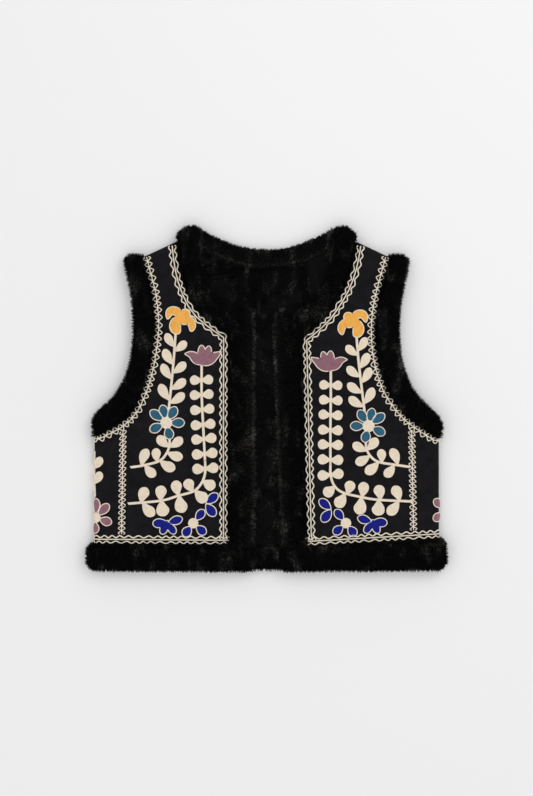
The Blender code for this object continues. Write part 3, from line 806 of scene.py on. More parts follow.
@dataclass
class Fur:
    """Fur on a CAD solid: a lumpy skin inside the solid's form, with hairs that reach out to it."""

    node: str
    pile_mm: float = 4.8
    hairs_per_mm2: float = 1.02
    underside_share: float = 0.16
    levels: int = 2
    lump_mm: float = 1.5
    lump_pitch_mm: float = 24.0
    tuft_mm: float = 0.9
    tuft_pitch_mm: float = 8.0
    clear_mm: float = 3.0
    skip_mm: float = 1.2
    thinnest_share: float = 0.4
    overreach: float = 1.2
    overlap_mm: float = 1.5
    start_mm: float = 0.05
    # The way that faces turn to get a painted highlight on their tips; the zero vector paints none.
    painted_sheen_way: Vector = field(default_factory=Vector)
    seed: int = 1

    def build(self, tool: Tool, finish: bpy.types.Material, all_solids: BVHTree) -> bpy.types.Object:
        """Builds the piece.

        Args:
            tool: The tree that sets the hairs.
            finish: The fur's material.
            all_solids: Search tree over every CAD node, which hides parts of the skin.

        Returns:
            The fur, with its hairs.
        """
        mesh = subdivided(f"{self.node}_pile", merged_copy(self.node), self.levels)
        self.sink(mesh, all_solids)
        piece = new_piece(mesh.name, mesh)
        tool.apply(piece, hairs=self.hairs_per_mm2 / MM**2, seed=self.seed, material=finish)
        return piece

    def covered(self, place: Vector, normal: Vector, all_solids: BVHTree) -> bool:
        """Whether something lies on the fur at a point.

        Args:
            place: The point on the solid's form.
            normal: Its outward normal.
            all_solids: Search tree over every CAD node.

        Returns:
            True if the point is inside another solid or close under one.
        """
        _, facing, _, distance = all_solids.ray_cast(place + normal * self.skip_mm * MM, normal)
        return facing is not None and (facing.dot(normal) > 0 or distance < self.clear_mm * MM)

    def sink(self, mesh: bpy.types.Mesh, all_solids: BVHTree) -> None:
        """Moves the skin in from the solid's form, with lumps, and marks where hairs stand and how much
        painted highlight their tips get.

        Args:
            mesh: The rounded copy of the solid, which becomes the skin.
            all_solids: Search tree over every CAD node.
        """
        own = search_tree(mesh)
        normals = [vertex.normal.copy() for vertex in mesh.vertices]
        joined: dict[int, list[Vector]] = {}
        for face in mesh.polygons:
            if self.covered(face.center, face.normal, all_solids):
                for corner in face.vertices:
                    joined.setdefault(corner, []).append(face.normal.copy())
        pile: list[float] = []
        reach: list[float] = []
        painted_sheen: list[float] = []
        moved: list[Vector] = []
        for vertex, normal in zip(mesh.vertices, normals):
            depth = own.ray_cast(vertex.co - normal * self.start_mm * MM, -normal)[3]
            depth = depth or 2 * self.pile_mm * MM
            covered = self.covered(vertex.co, normal, all_solids)
            inset = min(self.pile_mm * MM, depth * self.thinnest_share)
            reach.append(inset * self.overreach)
            # Painted highlight: how far the point faces the chosen way.
            painted_sheen.append(max(0.0, normal.dot(self.painted_sheen_way)))
            if covered:
                inset = 0.0
            lump = self.lump_mm * noise.noise(vertex.co / (self.lump_pitch_mm * MM))
            lump += self.tuft_mm * noise.noise(vertex.co / (self.tuft_pitch_mm * MM) + Vector((5, 3, 1)))
            calm = inset / (self.pile_mm * MM)
            shift = -normal * (inset - lump * MM * calm)
            for held in joined.get(vertex.index, ()):
                shift += held * (self.overlap_mm * MM - shift.dot(held))
            moved.append(vertex.co + shift)
            under = normal.z < -0.5 and vertex.co.z < self.clear_mm * MM
            pile.append(self.underside_share if under else 0.0 if covered else 1.0)
        for vertex, place in zip(mesh.vertices, moved):
            vertex.co = place
            vertex.co.z = max(place.z, SKIN_FLOOR_MM * MM)
        for name, values in (("pile", pile), ("reach", reach), ("painted_sheen", painted_sheen)):
            mesh.attributes.new(name, "FLOAT", "POINT").data.foreach_set("value", values)


@dataclass
class Crease:
    """A soft trough or ridge that runs straight between two points."""

    start: Point
    end: Point
    depth_mm: float
    half_width_mm: float
    fade: float = 0.6

    def at(self, x: float, y: float) -> float:
        """How far this crease moves the surface out at a point, all in millimetres.

        Args:
            x: The point's x.
            y: The point's y.

        Returns:
            The move, which is negative in a trough.
        """
        run = (self.end[0] - self.start[0], self.end[1] - self.start[1])
        length = math.hypot(*run)
        share = ((x - self.start[0]) * run[0] + (y - self.start[1]) * run[1]) / length**2
        if not 0 < share < 1:
            return 0.0
        off = abs((x - self.start[0]) * run[1] - (y - self.start[1]) * run[0]) / length
        if off > self.half_width_mm:
            return 0.0
        across = 0.5 + 0.5 * math.cos(math.pi * off / self.half_width_mm)
        return -self.depth_mm * across * math.sin(math.pi * share) ** self.fade


@dataclass
class Lining(Fur):
    """The fur lining of the back: its backing is a sheet, and hairs stand where it shows."""

    node: str = "back_lining"
    pile_mm: float = 3.6
    hairs_per_mm2: float = 1.1
    clear_mm: float = 40.0
    underside_share: float = 0.0
    creases: list[Crease] = field(default_factory=list)

    def shape(self, mesh: bpy.types.Mesh) -> None:
        """Presses the creases into the lining's face.

        Args:
            mesh: The rounded copy of the lining's solid.
        """
        for vertex in mesh.vertices:
            if vertex.normal.z > 0.5:
                x, y = vertex.co.x / MM, vertex.co.y / MM
                vertex.co.z += MM * sum(crease.at(x, y) for crease in self.creases)


@dataclass
class Panel:
    """A panel of cloth on its solid's form, with soft creases and a slight unevenness."""

    node: str
    cut_mm: tuple[float, float]
    cut_area_mm2: float
    rests_on: tuple[str, ...]
    creases: list[Crease] = field(default_factory=list)
    levels: int = 2
    uneven_mm: float = 0.25
    uneven_pitch_mm: float = 46.0

    def build(self, finish: bpy.types.Material) -> bpy.types.Object:
        """Builds the panel.

        Args:
            finish: The cloth's material.

        Returns:
            The panel.
        """
        mesh = subdivided(f"{self.node}_cloth", merged_copy(self.node), self.levels, EDGE_OVER_DEG)
        for vertex in mesh.vertices:
            x, y = vertex.co.x / MM, vertex.co.y / MM
            move = sum(crease.at(x, y) for crease in self.creases)
            move += self.uneven_mm * noise.noise(Vector((x, y, 0.0)) / self.uneven_pitch_mm)
            if vertex.normal.z > -0.2:
                vertex.co.z += move * MM
        mesh.materials.clear()
        mesh.materials.append(finish)
        mesh.shade_smooth()
        mesh.set_sharp_from_angle(angle=math.radians(EDGE_OVER_DEG))
        return new_piece(mesh.name, mesh)

    def declare(self, piece: bpy.types.Object) -> None:
        """Does nothing.

        Args:
            piece: The panel. Not used.
        """


@dataclass
class Braid:
    """A braid of cords, laid along the middle of its CAD strip."""

    node: str
    end_axis: int
    end_way: int
    near: float = 0.4
    far: float = 0.86
    period_mm: float = 12.4
    cord_mm: float = 1.75
    more_mm: tuple[float, float] = (0.0, 0.0)

    def rings(self) -> list[list[Vector]]:
        """Walks the strip's mesh from one end to the other.

        Returns:
            The corners of each section, in order along the strip. Most have four.
        """
        bm = bmesh.new()
        bm.from_mesh(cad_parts[self.node].data)
        bmesh.ops.remove_doubles(bm, verts=bm.verts, dist=MERGE_MM * MM)
        tip = max(bm.verts, key=lambda vertex: vertex.co[self.end_axis] * self.end_way)
        ring = set(sorted(bm.verts, key=lambda vertex: (vertex.co - tip.co).length)[:4])
        seen: set[bmesh.types.BMVert] = set()
        found: list[list[Vector]] = []
        while ring:
            found.append(sorted((vertex.co.copy() for vertex in ring), key=tuple))
            seen |= ring
            ring = {edge.other_vert(vertex) for vertex in ring for edge in vertex.link_edges} - seen
        bm.free()
        return found

    def first_way(self, ring: list[Vector], side: Side) -> Vector:
        """Finds the way across the strip's first section, outward or up the garment.

        Args:
            ring: The section's four corners.
            side: The side of the garment.

        Returns:
            The way.
        """
        mates = sorted(ring, key=lambda corner: (corner - ring[0]).length)
        way = mates[2] + mates[3] - mates[0] - mates[1]
        return way if way.dot(Vector((side.sign, 1.0, 0.0))) > 0 else -way

    def line(self, side: Side) -> bpy.types.Mesh:
        """Draws the strip's middle line, with its half width on each point.

        The first half width points outward or up the garment, so that it is the same in every run.

        Args:
            side: The side of the garment.

        Returns:
            The line, as a mesh of edges.
        """
        centres: list[Vector] = []
        across: list[Vector] = []
        for ring in self.rings():
            way = across[-1] if across else self.first_way(ring, side)
            centre = sum(ring, Vector()) / len(ring)
            near = [corner for corner in ring if (corner - centre).dot(way) < 0]
            far = [corner for corner in ring if (corner - centre).dot(way) >= 0]
            low, high = sum(near, Vector()) / len(near), sum(far, Vector()) / len(far)
            centres.append((low + high) / 2)
            across.append((high - low) / 2)
        for end, inner, more_mm in ((0, 1, self.more_mm[0]), (-1, -2, self.more_mm[1])):
            centres[end] += (centres[end] - centres[inner]).normalized() * more_mm * MM
        mesh = bpy.data.meshes.new(f"{self.node}_cords")
        mesh.from_pydata(centres, [(i, i + 1) for i in range(len(centres) - 1)], [])
        flat = [number for half in across for number in half]
        mesh.attributes.new("across", "FLOAT_VECTOR", "POINT").data.foreach_set("vector", flat)
        return mesh

    def build(self, side: Side, tool: Tool, finish: bpy.types.Material) -> bpy.types.Object:
        """Builds the braid.

        Args:
            side: The side of the garment.
            tool: The tree that makes braids.
            finish: The yarn's material.

        Returns:
            The braid.
        """
        mesh = self.line(side)
        piece = new_piece(mesh.name, mesh)
        tool.apply(
            piece,
            radius=self.cord_mm / 2 * MM,
            period=self.period_mm * MM,
            near=self.near,
            far=self.far,
            material=finish,
        )
        return piece


def smooth_line(points: tuple[Point, ...], step_mm: float = 1.0) -> list[Point]:
    """Draws a Catmull-Rom curve through a few points.

    Args:
        points: Two or more points, in millimetres.
        step_mm: The most that two points of the curve may be apart.

    Returns:
        The curve's points.
    """
    ends = [
        tuple(2 * a - b for a, b in zip(points[0], points[1])),
        *points,
        tuple(2 * a - b for a, b in zip(points[-1], points[-2])),
    ]
    line: list[Point] = []
    for a, b, c, d in zip(ends, ends[1:], ends[2:], ends[3:]):
        steps = max(2, math.ceil(math.dist(b, c) / step_mm))
        for i in range(steps):
            t = i / steps
            weights = (
                -t / 2 + t * t - t**3 / 2,
                1 - 2.5 * t * t + 1.5 * t**3,
                t / 2 + 2 * t * t - 1.5 * t**3,
                (t**3 - t * t) / 2,
            )
            line.append(tuple(sum(w * p[k] for w, p in zip(weights, (a, b, c, d))) for k in (0, 1)))
    line.append(tuple(points[-1]))
    return line


def sideways(line: list[Point], i: int) -> Point:
    """The unit vector to the left of a line at one of its points.

    Args:
        line: The line.
        i: Which point.

    Returns:
        The vector.
    """
    before, after = line[max(i - 1, 0)], line[min(i + 1, len(line) - 1)]
    length = math.dist(before, after)
    return (before[1] - after[1]) / length, (after[0] - before[0]) / length


@dataclass(frozen=True)
class Petal:
    """A petal or leaf: widest past the middle of its axis, with a round or a pointed tip."""

    axis: tuple[Point, ...]
    width: float
    fullest: float = 0.66
    roundness: float = 0.58
    fine_mm: float = 0.3
    steps: int = 20

    def outline(self) -> list[Point]:
        """Draws the outline, from the root round the tip and back."""
        line = smooth_line(self.axis, self.fine_mm)
        sharpness = math.log(0.5) / math.log(self.fullest)
        sides: tuple[list[Point], list[Point]] = ([], [])
        for step in range(self.steps + 1):
            i = round((len(line) - 1) * (1 - math.cos(math.pi * step / self.steps)) / 2)
            x, y = line[i]
            share = i / (len(line) - 1)
            across = self.width / 2 * max(math.sin(math.pi * share**sharpness), 0.0) ** self.roundness
            nx, ny = sideways(line, i)
            sides[0].append((x + nx * across, y + ny * across))
            sides[1].append((x - nx * across, y - ny * across))
        return sides[0] + sides[1][-2:0:-1]


def disc(centre: Point, radius: float, count: int = 26) -> list[Point]:
    """Draws a circle.

    Args:
        centre: Its middle.
        radius: Its radius.
        count: How many points it has.

    Returns:
        Its points.
    """
    return [
        (centre[0] + radius * math.cos(TAU * i / count), centre[1] + radius * math.sin(TAU * i / count))
        for i in range(count)
    ]


def crossings(outline: list[Point], height: float) -> list[float]:
    """Finds where a closed outline crosses a level line.

    Args:
        outline: The outline.
        height: The line's y.

    Returns:
        The x of each crossing, in order.
    """
    found = []
    for (ax, ay), (bx, by) in zip(outline, outline[1:] + outline[:1]):
        if (ay > height) != (by > height):
            found.append(ax + (bx - ax) * (height - ay) / (by - ay))
    return sorted(found)


def holds(outline: list[Point], point: Point) -> bool:
    """Whether a point is inside a closed outline.

    Args:
        outline: The outline.
        point: The point.

    Returns:
        True if it is inside.
    """
    return sum(x < point[0] for x in crossings(outline, point[1])) % 2 == 1


@dataclass
class Stitching:
    """Stitches in one yarn on one side of the garment: where each goes on the cloth, and how high."""

    fills: list[Stitch] = field(default_factory=list)
    lines: list[Stitch] = field(default_factory=list)
    row_mm: float = 0.8
    pad_mm: float = 1.0
    edge_mm: float = 0.1
    full_width_mm: float = 7.0
    step_mm: float = 1.5
    stitch_slant_mm: float = 0.9

    def lay(self, start: Point, end: Point) -> None:
        """Lays one straight satin stitch, which stands highest in the middle.

        Args:
            start: Where it begins.
            end: Where it ends.
        """
        length = math.dist(start, end)
        count = max(3, math.ceil(length / self.step_mm))
        height = self.pad_mm * min(1.0, length / self.full_width_mm)
        self.fills.append(
            [
                (
                    start[0] + (end[0] - start[0]) * i / count,
                    start[1] + (end[1] - start[1]) * i / count,
                    self.edge_mm + height * math.sqrt(max(0.0, 1 - (2 * i / count - 1) ** 2)),
                )
                for i in range(count + 1)
            ]
        )

    def fill(self, outlines: list[list[Point]], angle_deg: float) -> None:
        """Fills shapes that may overlap with parallel stitches.

        Args:
            outlines: The shapes.
            angle_deg: The way that the stitches run.
        """
        angle = math.radians(angle_deg)
        cos, sin = math.cos(angle), math.sin(angle)
        turned = [[(x * cos + y * sin, y * cos - x * sin) for x, y in outline] for outline in outlines]
        heights = [y for outline in turned for _, y in outline]
        for row in range(math.ceil(min(heights) / self.row_mm), math.ceil(max(heights) / self.row_mm)):
            level = (row + 0.5) * self.row_mm
            spans: list[list[float]] = []
            for outline in turned:
                found = crossings(outline, level)
                spans += [list(pair) for pair in zip(found[::2], found[1::2])]
            merged: list[list[float]] = []
            for low, high in sorted(spans):
                if merged and low <= merged[-1][1]:
                    merged[-1][1] = max(merged[-1][1], high)
                else:
                    merged.append([low, high])
            for low, high in merged:
                if high - low > self.row_mm:
                    ends = [(x * cos - level * sin, x * sin + level * cos) for x in (low, high)]
                    self.lay(*ends)

    def edge(self, outlines: list[list[Point]], lift_mm: float = 0.55) -> None:
        """Lays a line of yarn round shapes that may overlap.

        Args:
            outlines: The shapes.
            lift_mm: The line's height over the cloth.
        """
        for outline in outlines:
            others = [other for other in outlines if other is not outline]
            closed = outline + outline[:1]
            shown = [not any(holds(other, point) for other in others) for point in closed]
            if all(shown):
                self.lines.append([(x, y, lift_mm) for x, y in closed])
                continue
            first = shown.index(False)
            order = [(first + i) % len(outline) for i in range(len(outline))]
            run: Stitch = []
            for i in [*order, first]:
                if shown[i]:
                    run.append((*outline[i], lift_mm))
                    continue
                if len(run) > 1:
                    self.lines.append(run)
                run = []

    def stem(self, points: tuple[Point, ...], width: float) -> None:
        """Lays short slanted stitches along a stem.

        Args:
            points: Points that the stem runs through.
            width: Its width.
        """
        line = smooth_line(points, self.row_mm)
        for i, (x, y) in enumerate(line):
            nx, ny = sideways(line, i)
            half = width / 2
            slant = self.stitch_slant_mm
            ends = [
                (x + way * (nx * half + ny * slant), y + way * (ny * half - nx * slant)) for way in (1, -1)
            ]
            self.lay(*ends)


@dataclass(frozen=True)
class Sewing:
    """The embroidery of one side, in a frame whose x runs outward from the middle of the garment.

    The yellow flower nods on a leafy stem over a teal daisy, a mauve tulip stands beside it on a long stem
    with paired leaves that turns outward near the hem, and royal-blue petals fill the corner below.
    """

    side: Side
    lily: Point
    lily_stem: tuple[Point, ...]
    daisy: Point
    sprig: tuple[Point, ...]
    tulip: Point
    tulip_stem: tuple[Point, ...]
    corner_pair: Point
    corner_flower: Point
    corner_spray: Point
    side_daisy: Point
    stem_width: float = 3.3
    pair_leaf: tuple[float, float] = (15.6, 12.2)
    leaf_bulge: float = 0.06
    leaf_slant_deg: float = 58.0
    petal_slant_deg: float = 62.0
    petal_form: tuple[float, float] = (0.58, 0.56)
    hub_slant_deg: float = 40.0

    def leaves_on(
        self,
        stitching: Stitching,
        stem: tuple[Point, ...],
        marks: list[tuple[float, float, float, float, float]],
    ) -> None:
        """Sews leaves along a stem.

        Args:
            stitching: The cream yarn.
            stem: Points that the stem runs through.
            marks: For each leaf, where it leaves the stem (in mm from its start), its side (1 is the stem's
                left), its angle from the stem in degrees, its length and its width.
        """
        line = smooth_line(stem)
        travelled = [0.0]
        for a, b in zip(line, line[1:]):
            travelled.append(travelled[-1] + math.dist(a, b))
        for at, way, angle_deg, length, width in marks:
            i = next((k for k, distance in enumerate(travelled) if distance >= at), len(line) - 1)
            nx, ny = sideways(line, i)
            tx, ty = ny, -nx
            angle = math.radians(angle_deg)
            run = (
                tx * math.cos(angle) + way * nx * math.sin(angle),
                ty * math.cos(angle) + way * ny * math.sin(angle),
            )
            x, y = line[i]
            tip = (x + run[0] * length, y + run[1] * length)
            bulge = self.leaf_bulge * length * way
            middle = (x + run[0] * length / 2 + run[1] * bulge, y + run[1] * length / 2 - run[0] * bulge)
            outline = Petal(((x, y), middle, tip), width).outline()
            heading = math.degrees(math.atan2(run[1], run[0]))
            stitching.fill([outline], heading + self.leaf_slant_deg * way)
            stitching.edge([outline])
        stitching.stem(stem, self.stem_width)

    def sew_petals(
        self,
        yarns: dict[Yarn, Stitching],
        yarn: Yarn,
        centre: Point,
        petals: list[tuple[float, float, float, float]],
    ) -> None:
        """Sews separate petals round a point, each filled in its own colour and edged in cream.

        Args:
            yarns: The stitching of each yarn.
            yarn: The petals' yarn.
            centre: The point.
            petals: For each, its angle in degrees, where it starts and ends from the centre, and its width.
        """
        for angle_deg, start, end, width in petals:
            angle = math.radians(angle_deg)
            way = (math.cos(angle), math.sin(angle))
            axis = tuple((centre[0] + way[0] * r, centre[1] + way[1] * r) for r in (start, end))
            outline = Petal(axis, width, *self.petal_form).outline()
            yarns[yarn].fill([outline], angle_deg + self.petal_slant_deg)
            yarns[Yarn.CREAM].edge([outline])

    def sew_hub(self, cream: Stitching, centre: Point, radius: float) -> None:
        """Sews a flower's round middle.

        Args:
            cream: The cream yarn.
            centre: The flower's centre.
            radius: The round's radius.
        """
        hub = disc(centre, radius)
        cream.fill([hub], self.hub_slant_deg)
        cream.edge([hub])

    def sew_union(
        self,
        yarns: dict[Yarn, Stitching],
        yarn: Yarn,
        centre: Point,
        petals: list[Petal],
        angle: float,
    ) -> None:
        """Sews petals that run into each other as one filled shape, edged in cream.

        Args:
            yarns: The stitching of each yarn.
            yarn: The fill's yarn.
            centre: What the petals' own points are measured from.
            petals: The petals.
            angle: The way that the stitches run, in degrees.
        """
        outlines = [[(x + centre[0], y + centre[1]) for x, y in petal.outline()] for petal in petals]
        yarns[yarn].fill(outlines, angle)
        yarns[Yarn.CREAM].edge(outlines)

    def sew(self) -> dict[Yarn, Stitching]:
        """Sews every motif.

        Returns:
            The stitching of each yarn.
        """
        yarns = {yarn: Stitching() for yarn in Yarn if yarn is not Yarn.BRAID}
        cream = yarns[Yarn.CREAM]
        alternate = [
            (23.5, 1.0, 144.0, 22.0, 10.5),
            (48.0, 1.0, 144.0, 24.5, 11.5),
            (68.5, 1.0, 142.0, 25.0, 11.0),
            (98.0, 1.0, 143.0, 26.0, 12.0),
            (29.0, -1.0, 134.0, 21.0, 10.5),
            (59.5, -1.0, 135.0, 23.0, 11.0),
            (82.5, -1.0, 130.0, 24.0, 11.5),
            (102.0, -1.0, 130.0, 24.5, 11.5),
        ]
        self.leaves_on(cream, self.lily_stem, alternate)
        self.sew_union(
            yarns,
            Yarn.YELLOW,
            self.lily,
            [
                Petal(((-3.0, 3.0), (4.0, 11.0), (13.5, 11.0), (17.5, 0.5)), 11.5, 0.5, 0.6),
                Petal(((5.0, -4.0), (-12.5, 12.5)), 14.5, 0.62, 0.5),
                Petal(((-3.0, 9.0), (5.0, -3.0), (6.5, -11.0), (1.5, -20.0)), 15.5, 0.64, 0.5),
                Petal(((-2.0, 3.0), (-13.0, -1.0), (-17.0, -8.0), (-16.0, -16.8)), 10.8, 0.55, 0.5),
                Petal(((7.0, 5.0), (-13.0, -4.0)), 13.0, 0.55, 0.5),
            ],
            35.0,
        )
        self.sew_petals(
            yarns,
            Yarn.TEAL,
            self.daisy,
            [
                (77.0, 6.0, 25.5, 12.5),
                (122.0, 6.0, 26.0, 13.0),
                (180.0, 6.0, 25.5, 13.0),
                (-104.0, 6.0, 23.5, 13.0),
                (-26.0, 6.0, 25.5, 13.0),
                (37.0, 6.0, 28.0, 13.0),
            ],
        )
        self.sew_hub(cream, self.daisy, 7.8)
        self.leaves_on(
            cream,
            self.sprig,
            [
                (16.0, 1.0, 121.0, 21.5, 12.5),
                (16.5, -1.0, 139.0, 22.0, 12.0),
                (24.0, -1.0, 100.0, 22.5, 12.5),
                (40.0, -1.0, 121.0, 24.0, 13.5),
                (43.5, 1.0, 107.0, 18.5, 11.5),
                (67.0, 1.0, 121.0, 24.5, 12.5),
                (62.0, -1.0, 121.0, 21.0, 12.5),
            ],
        )
        self.sew_union(
            yarns,
            Yarn.MAUVE,
            self.tulip,
            [
                Petal(((-9.0, -5.0), (5.0, -4.0), (15.0, 3.0), (24.5, 4.2)), 14.0, 0.42, 0.85),
                Petal(((9.0, -5.0), (-7.0, -5.0), (-18.0, 1.5), (-27.0, 7.3)), 14.5, 0.42, 0.85),
                Petal(((0.0, -12.5), (0.8, 16.3)), 10.8, 0.62, 0.5),
                Petal(((-4.0, -12.5), (-10.0, 15.2)), 9.6, 0.66, 0.5),
            ],
            25.0,
        )
        pair_long, pair_wide = self.pair_leaf
        pairs = [
            (19.8 + 20.8 * i, way, 92.0 if way > 0 else 97.0, pair_long + 0.35 * i, pair_wide + 0.2 * i)
            for i in range(7)
            for way in (1.0, -1.0)
        ]
        lower = [
            (162.0, -1.0, 87.0, 19.0, 14.5),
            (180.0, -1.0, 107.0, 22.0, 15.5),
            (183.0, 1.0, 90.0, 18.6, 14.0),
            (204.0, 1.0, 96.0, 21.0, 14.0),
            (203.0, -1.0, 88.0, 24.0, 16.5),
            (230.0, 1.0, 105.0, 20.5, 14.5),
            (228.0, -1.0, 91.0, 21.5, 17.0),
            (258.0, 1.0, 115.0, 22.0, 14.0),
            (256.0, -1.0, 128.0, 24.0, 14.0),
        ]
        self.leaves_on(cream, self.tulip_stem, pairs + lower)
        self.sew_petals(
            yarns, Yarn.BLUE, self.corner_pair, [(140.0, 0.5, 21.5, 12.5), (-126.0, 0.5, 21.5, 13.5)]
        )
        self.sew_petals(
            yarns,
            Yarn.BLUE,
            self.corner_flower,
            [(129.0, 6.0, 24.0, 12.0), (-139.0, 6.0, 23.0, 12.5), (-53.0, 6.0, 22.5, 13.0)],
        )
        self.sew_hub(cream, self.corner_flower, 6.6)
        self.sew_petals(yarns, Yarn.BLUE, self.corner_spray, [(163.0, 1.0, 22.0, 12.0)])
        self.sew_union(
            yarns,
            Yarn.BLUE,
            self.corner_spray,
            [
                Petal(((0.5, 0.5), (20.5, -1.0)), 12.5, 0.58, 0.5),
                Petal(((-0.5, 1.5), (8.5, -15.5)), 10.5, 0.62, 0.5),
                Petal(((1.0, 1.5), (-11.0, -15.0)), 10.5, 0.62, 0.5),
                Petal(((0.0, 3.5), (0.5, -7.5)), 7.0, 0.5, 0.5),
            ],
            30.0,
        )
        self.sew_side(yarns)
        return yarns

    def sew_side(self, yarns: dict[Yarn, Stitching]) -> None:
        """Sews the flower on the side piece, which the side fold hides half of.

        Args:
            yarns: The stitching of each yarn.
        """
        cream = yarns[Yarn.CREAM]
        if self.side is Side.RIGHT:
            shown = [(140.0, 7.0, 24.5, 12.0), (214.0, 7.0, 23.5, 12.0)]
            self.sew_petals(yarns, Yarn.MAUVE, self.side_daisy, shown)
            return
        petals = [
            (134.0, 6.0, 26.5, 12.0),
            (198.0, 6.0, 23.5, 12.0),
            (92.0, 6.0, 27.0, 11.0),
            (-86.0, 6.0, 22.0, 11.5),
            (-30.0, 6.0, 21.0, 12.0),
            (36.0, 6.0, 21.0, 12.0),
        ]
        self.sew_petals(yarns, Yarn.MAUVE, self.side_daisy, petals)
        self.sew_hub(cream, self.side_daisy, 6.4)
        x, y = self.side_daisy
        stem = ((x + 3.0, y + 92.0), (x + 3.5, y + 60.0), (x + 2.0, y + 29.0))
        places = ((23.0, -1.0), (44.0, -1.0), (32.0, 1.0), (54.0, 1.0))
        self.leaves_on(cream, stem, [(at, way, 146.0, 19.5, 10.5) for at, way in places])


@dataclass
class Cloth:
    """The outer face of one side's cloth, for laying stitches on."""

    side: Side
    face: BVHTree
    fold_radius: float
    fold_start: float
    pressed_mm: float = 0.8
    above_mm: float = 100.0

    def place(self, x: float, y: float, lift: float) -> Vector:
        """Finds a point over the cloth, which past the start of the side fold goes round it.

        Args:
            x: The distance outward from the middle of the garment, measured on the cloth, in millimetres.
            y: The y, in millimetres.
            lift: The height over the cloth, in millimetres.

        Returns:
            The point, in metres.
        """
        past = x - self.fold_start
        if past > 0:
            angle = past / self.fold_radius
            across, up = math.sin(angle), math.cos(angle)
            reach = self.fold_radius + lift
            height = max(self.fold_radius + reach * up, self.pressed_mm)
            return MM * Vector((self.side.sign * (self.fold_start + reach * across), y, height))
        start = Vector((self.side.sign * x, y, self.above_mm)) * MM
        hit = self.face.ray_cast(start, -UP)[0]
        height = hit.z if hit else 2 * self.fold_radius * MM
        return Vector((start.x, start.y, height + lift * MM))


SEWING = {
    Side.LEFT: Sewing(
        side=Side.LEFT,
        lily=(121.3, 110.0),
        lily_stem=((127.0, 95.0), (129.9, 54.0), (133.5, 15.4), (137.5, -22.0)),
        daisy=(140.3, -34.7),
        sprig=(
            (136.0, -52.0),
            (135.9, -66.6),
            (140.7, -78.6),
            (150.4, -88.3),
            (172.1, -94.3),
            (190.2, -97.2),
        ),
        tulip=(90.1, 57.6),
        tulip_stem=(
            (90.8, 46.0),
            (90.8, 5.8),
            (88.9, -35.2),
            (86.2, -86.0),
            (86.0, -105.0),
            (91.3, -119.6),
            (102.1, -130.5),
            (123.9, -137.0),
            (148.0, -143.8),
            (193.5, -148.1),
        ),
        corner_pair=(84.8, -147.9),
        corner_flower=(102.6, -175.4),
        corner_spray=(138.8, -175.0),
        side_daisy=(239.4, -167.9),
    ),
    Side.RIGHT: Sewing(
        side=Side.RIGHT,
        lily=(122.0, 105.5),
        lily_stem=((125.8, 89.5), (129.0, 50.0), (133.5, 12.0), (138.0, -25.0)),
        daisy=(142.8, -39.2),
        sprig=(
            (139.0, -57.0),
            (140.0, -71.0),
            (146.0, -82.0),
            (157.0, -89.5),
            (180.0, -93.5),
            (201.0, -96.6),
        ),
        tulip=(88.9, 49.7),
        tulip_stem=(
            (90.0, 38.0),
            (90.0, 0.0),
            (89.5, -40.0),
            (89.5, -90.0),
            (89.8, -108.0),
            (94.8, -122.5),
            (106.0, -132.0),
            (129.0, -138.0),
            (156.0, -142.5),
            (205.0, -145.0),
        ),
        corner_pair=(90.5, -156.0),
        corner_flower=(111.3, -175.2),
        corner_spray=(148.5, -173.8),
        side_daisy=(253.5, -158.0),
    ),
}


@dataclass(frozen=True)
class Strand:
    """How thick yarn is where it is laid, how far apart its rings are, and how round it is."""

    radius_mm: float
    step_mm: float
    swell: float
    sides: int

    def inputs(self) -> dict[str, float | int]:
        """Gives the yarn tool's inputs."""
        return {
            "radius": self.radius_mm * MM,
            "step": self.step_mm * MM,
            "swell": self.swell,
            "sides": self.sides,
        }


FILL_STRAND = Strand(0.5, 2.2, 0.0, 4)
LINE_STRAND = Strand(0.78, 1.2, 0.14, 5)


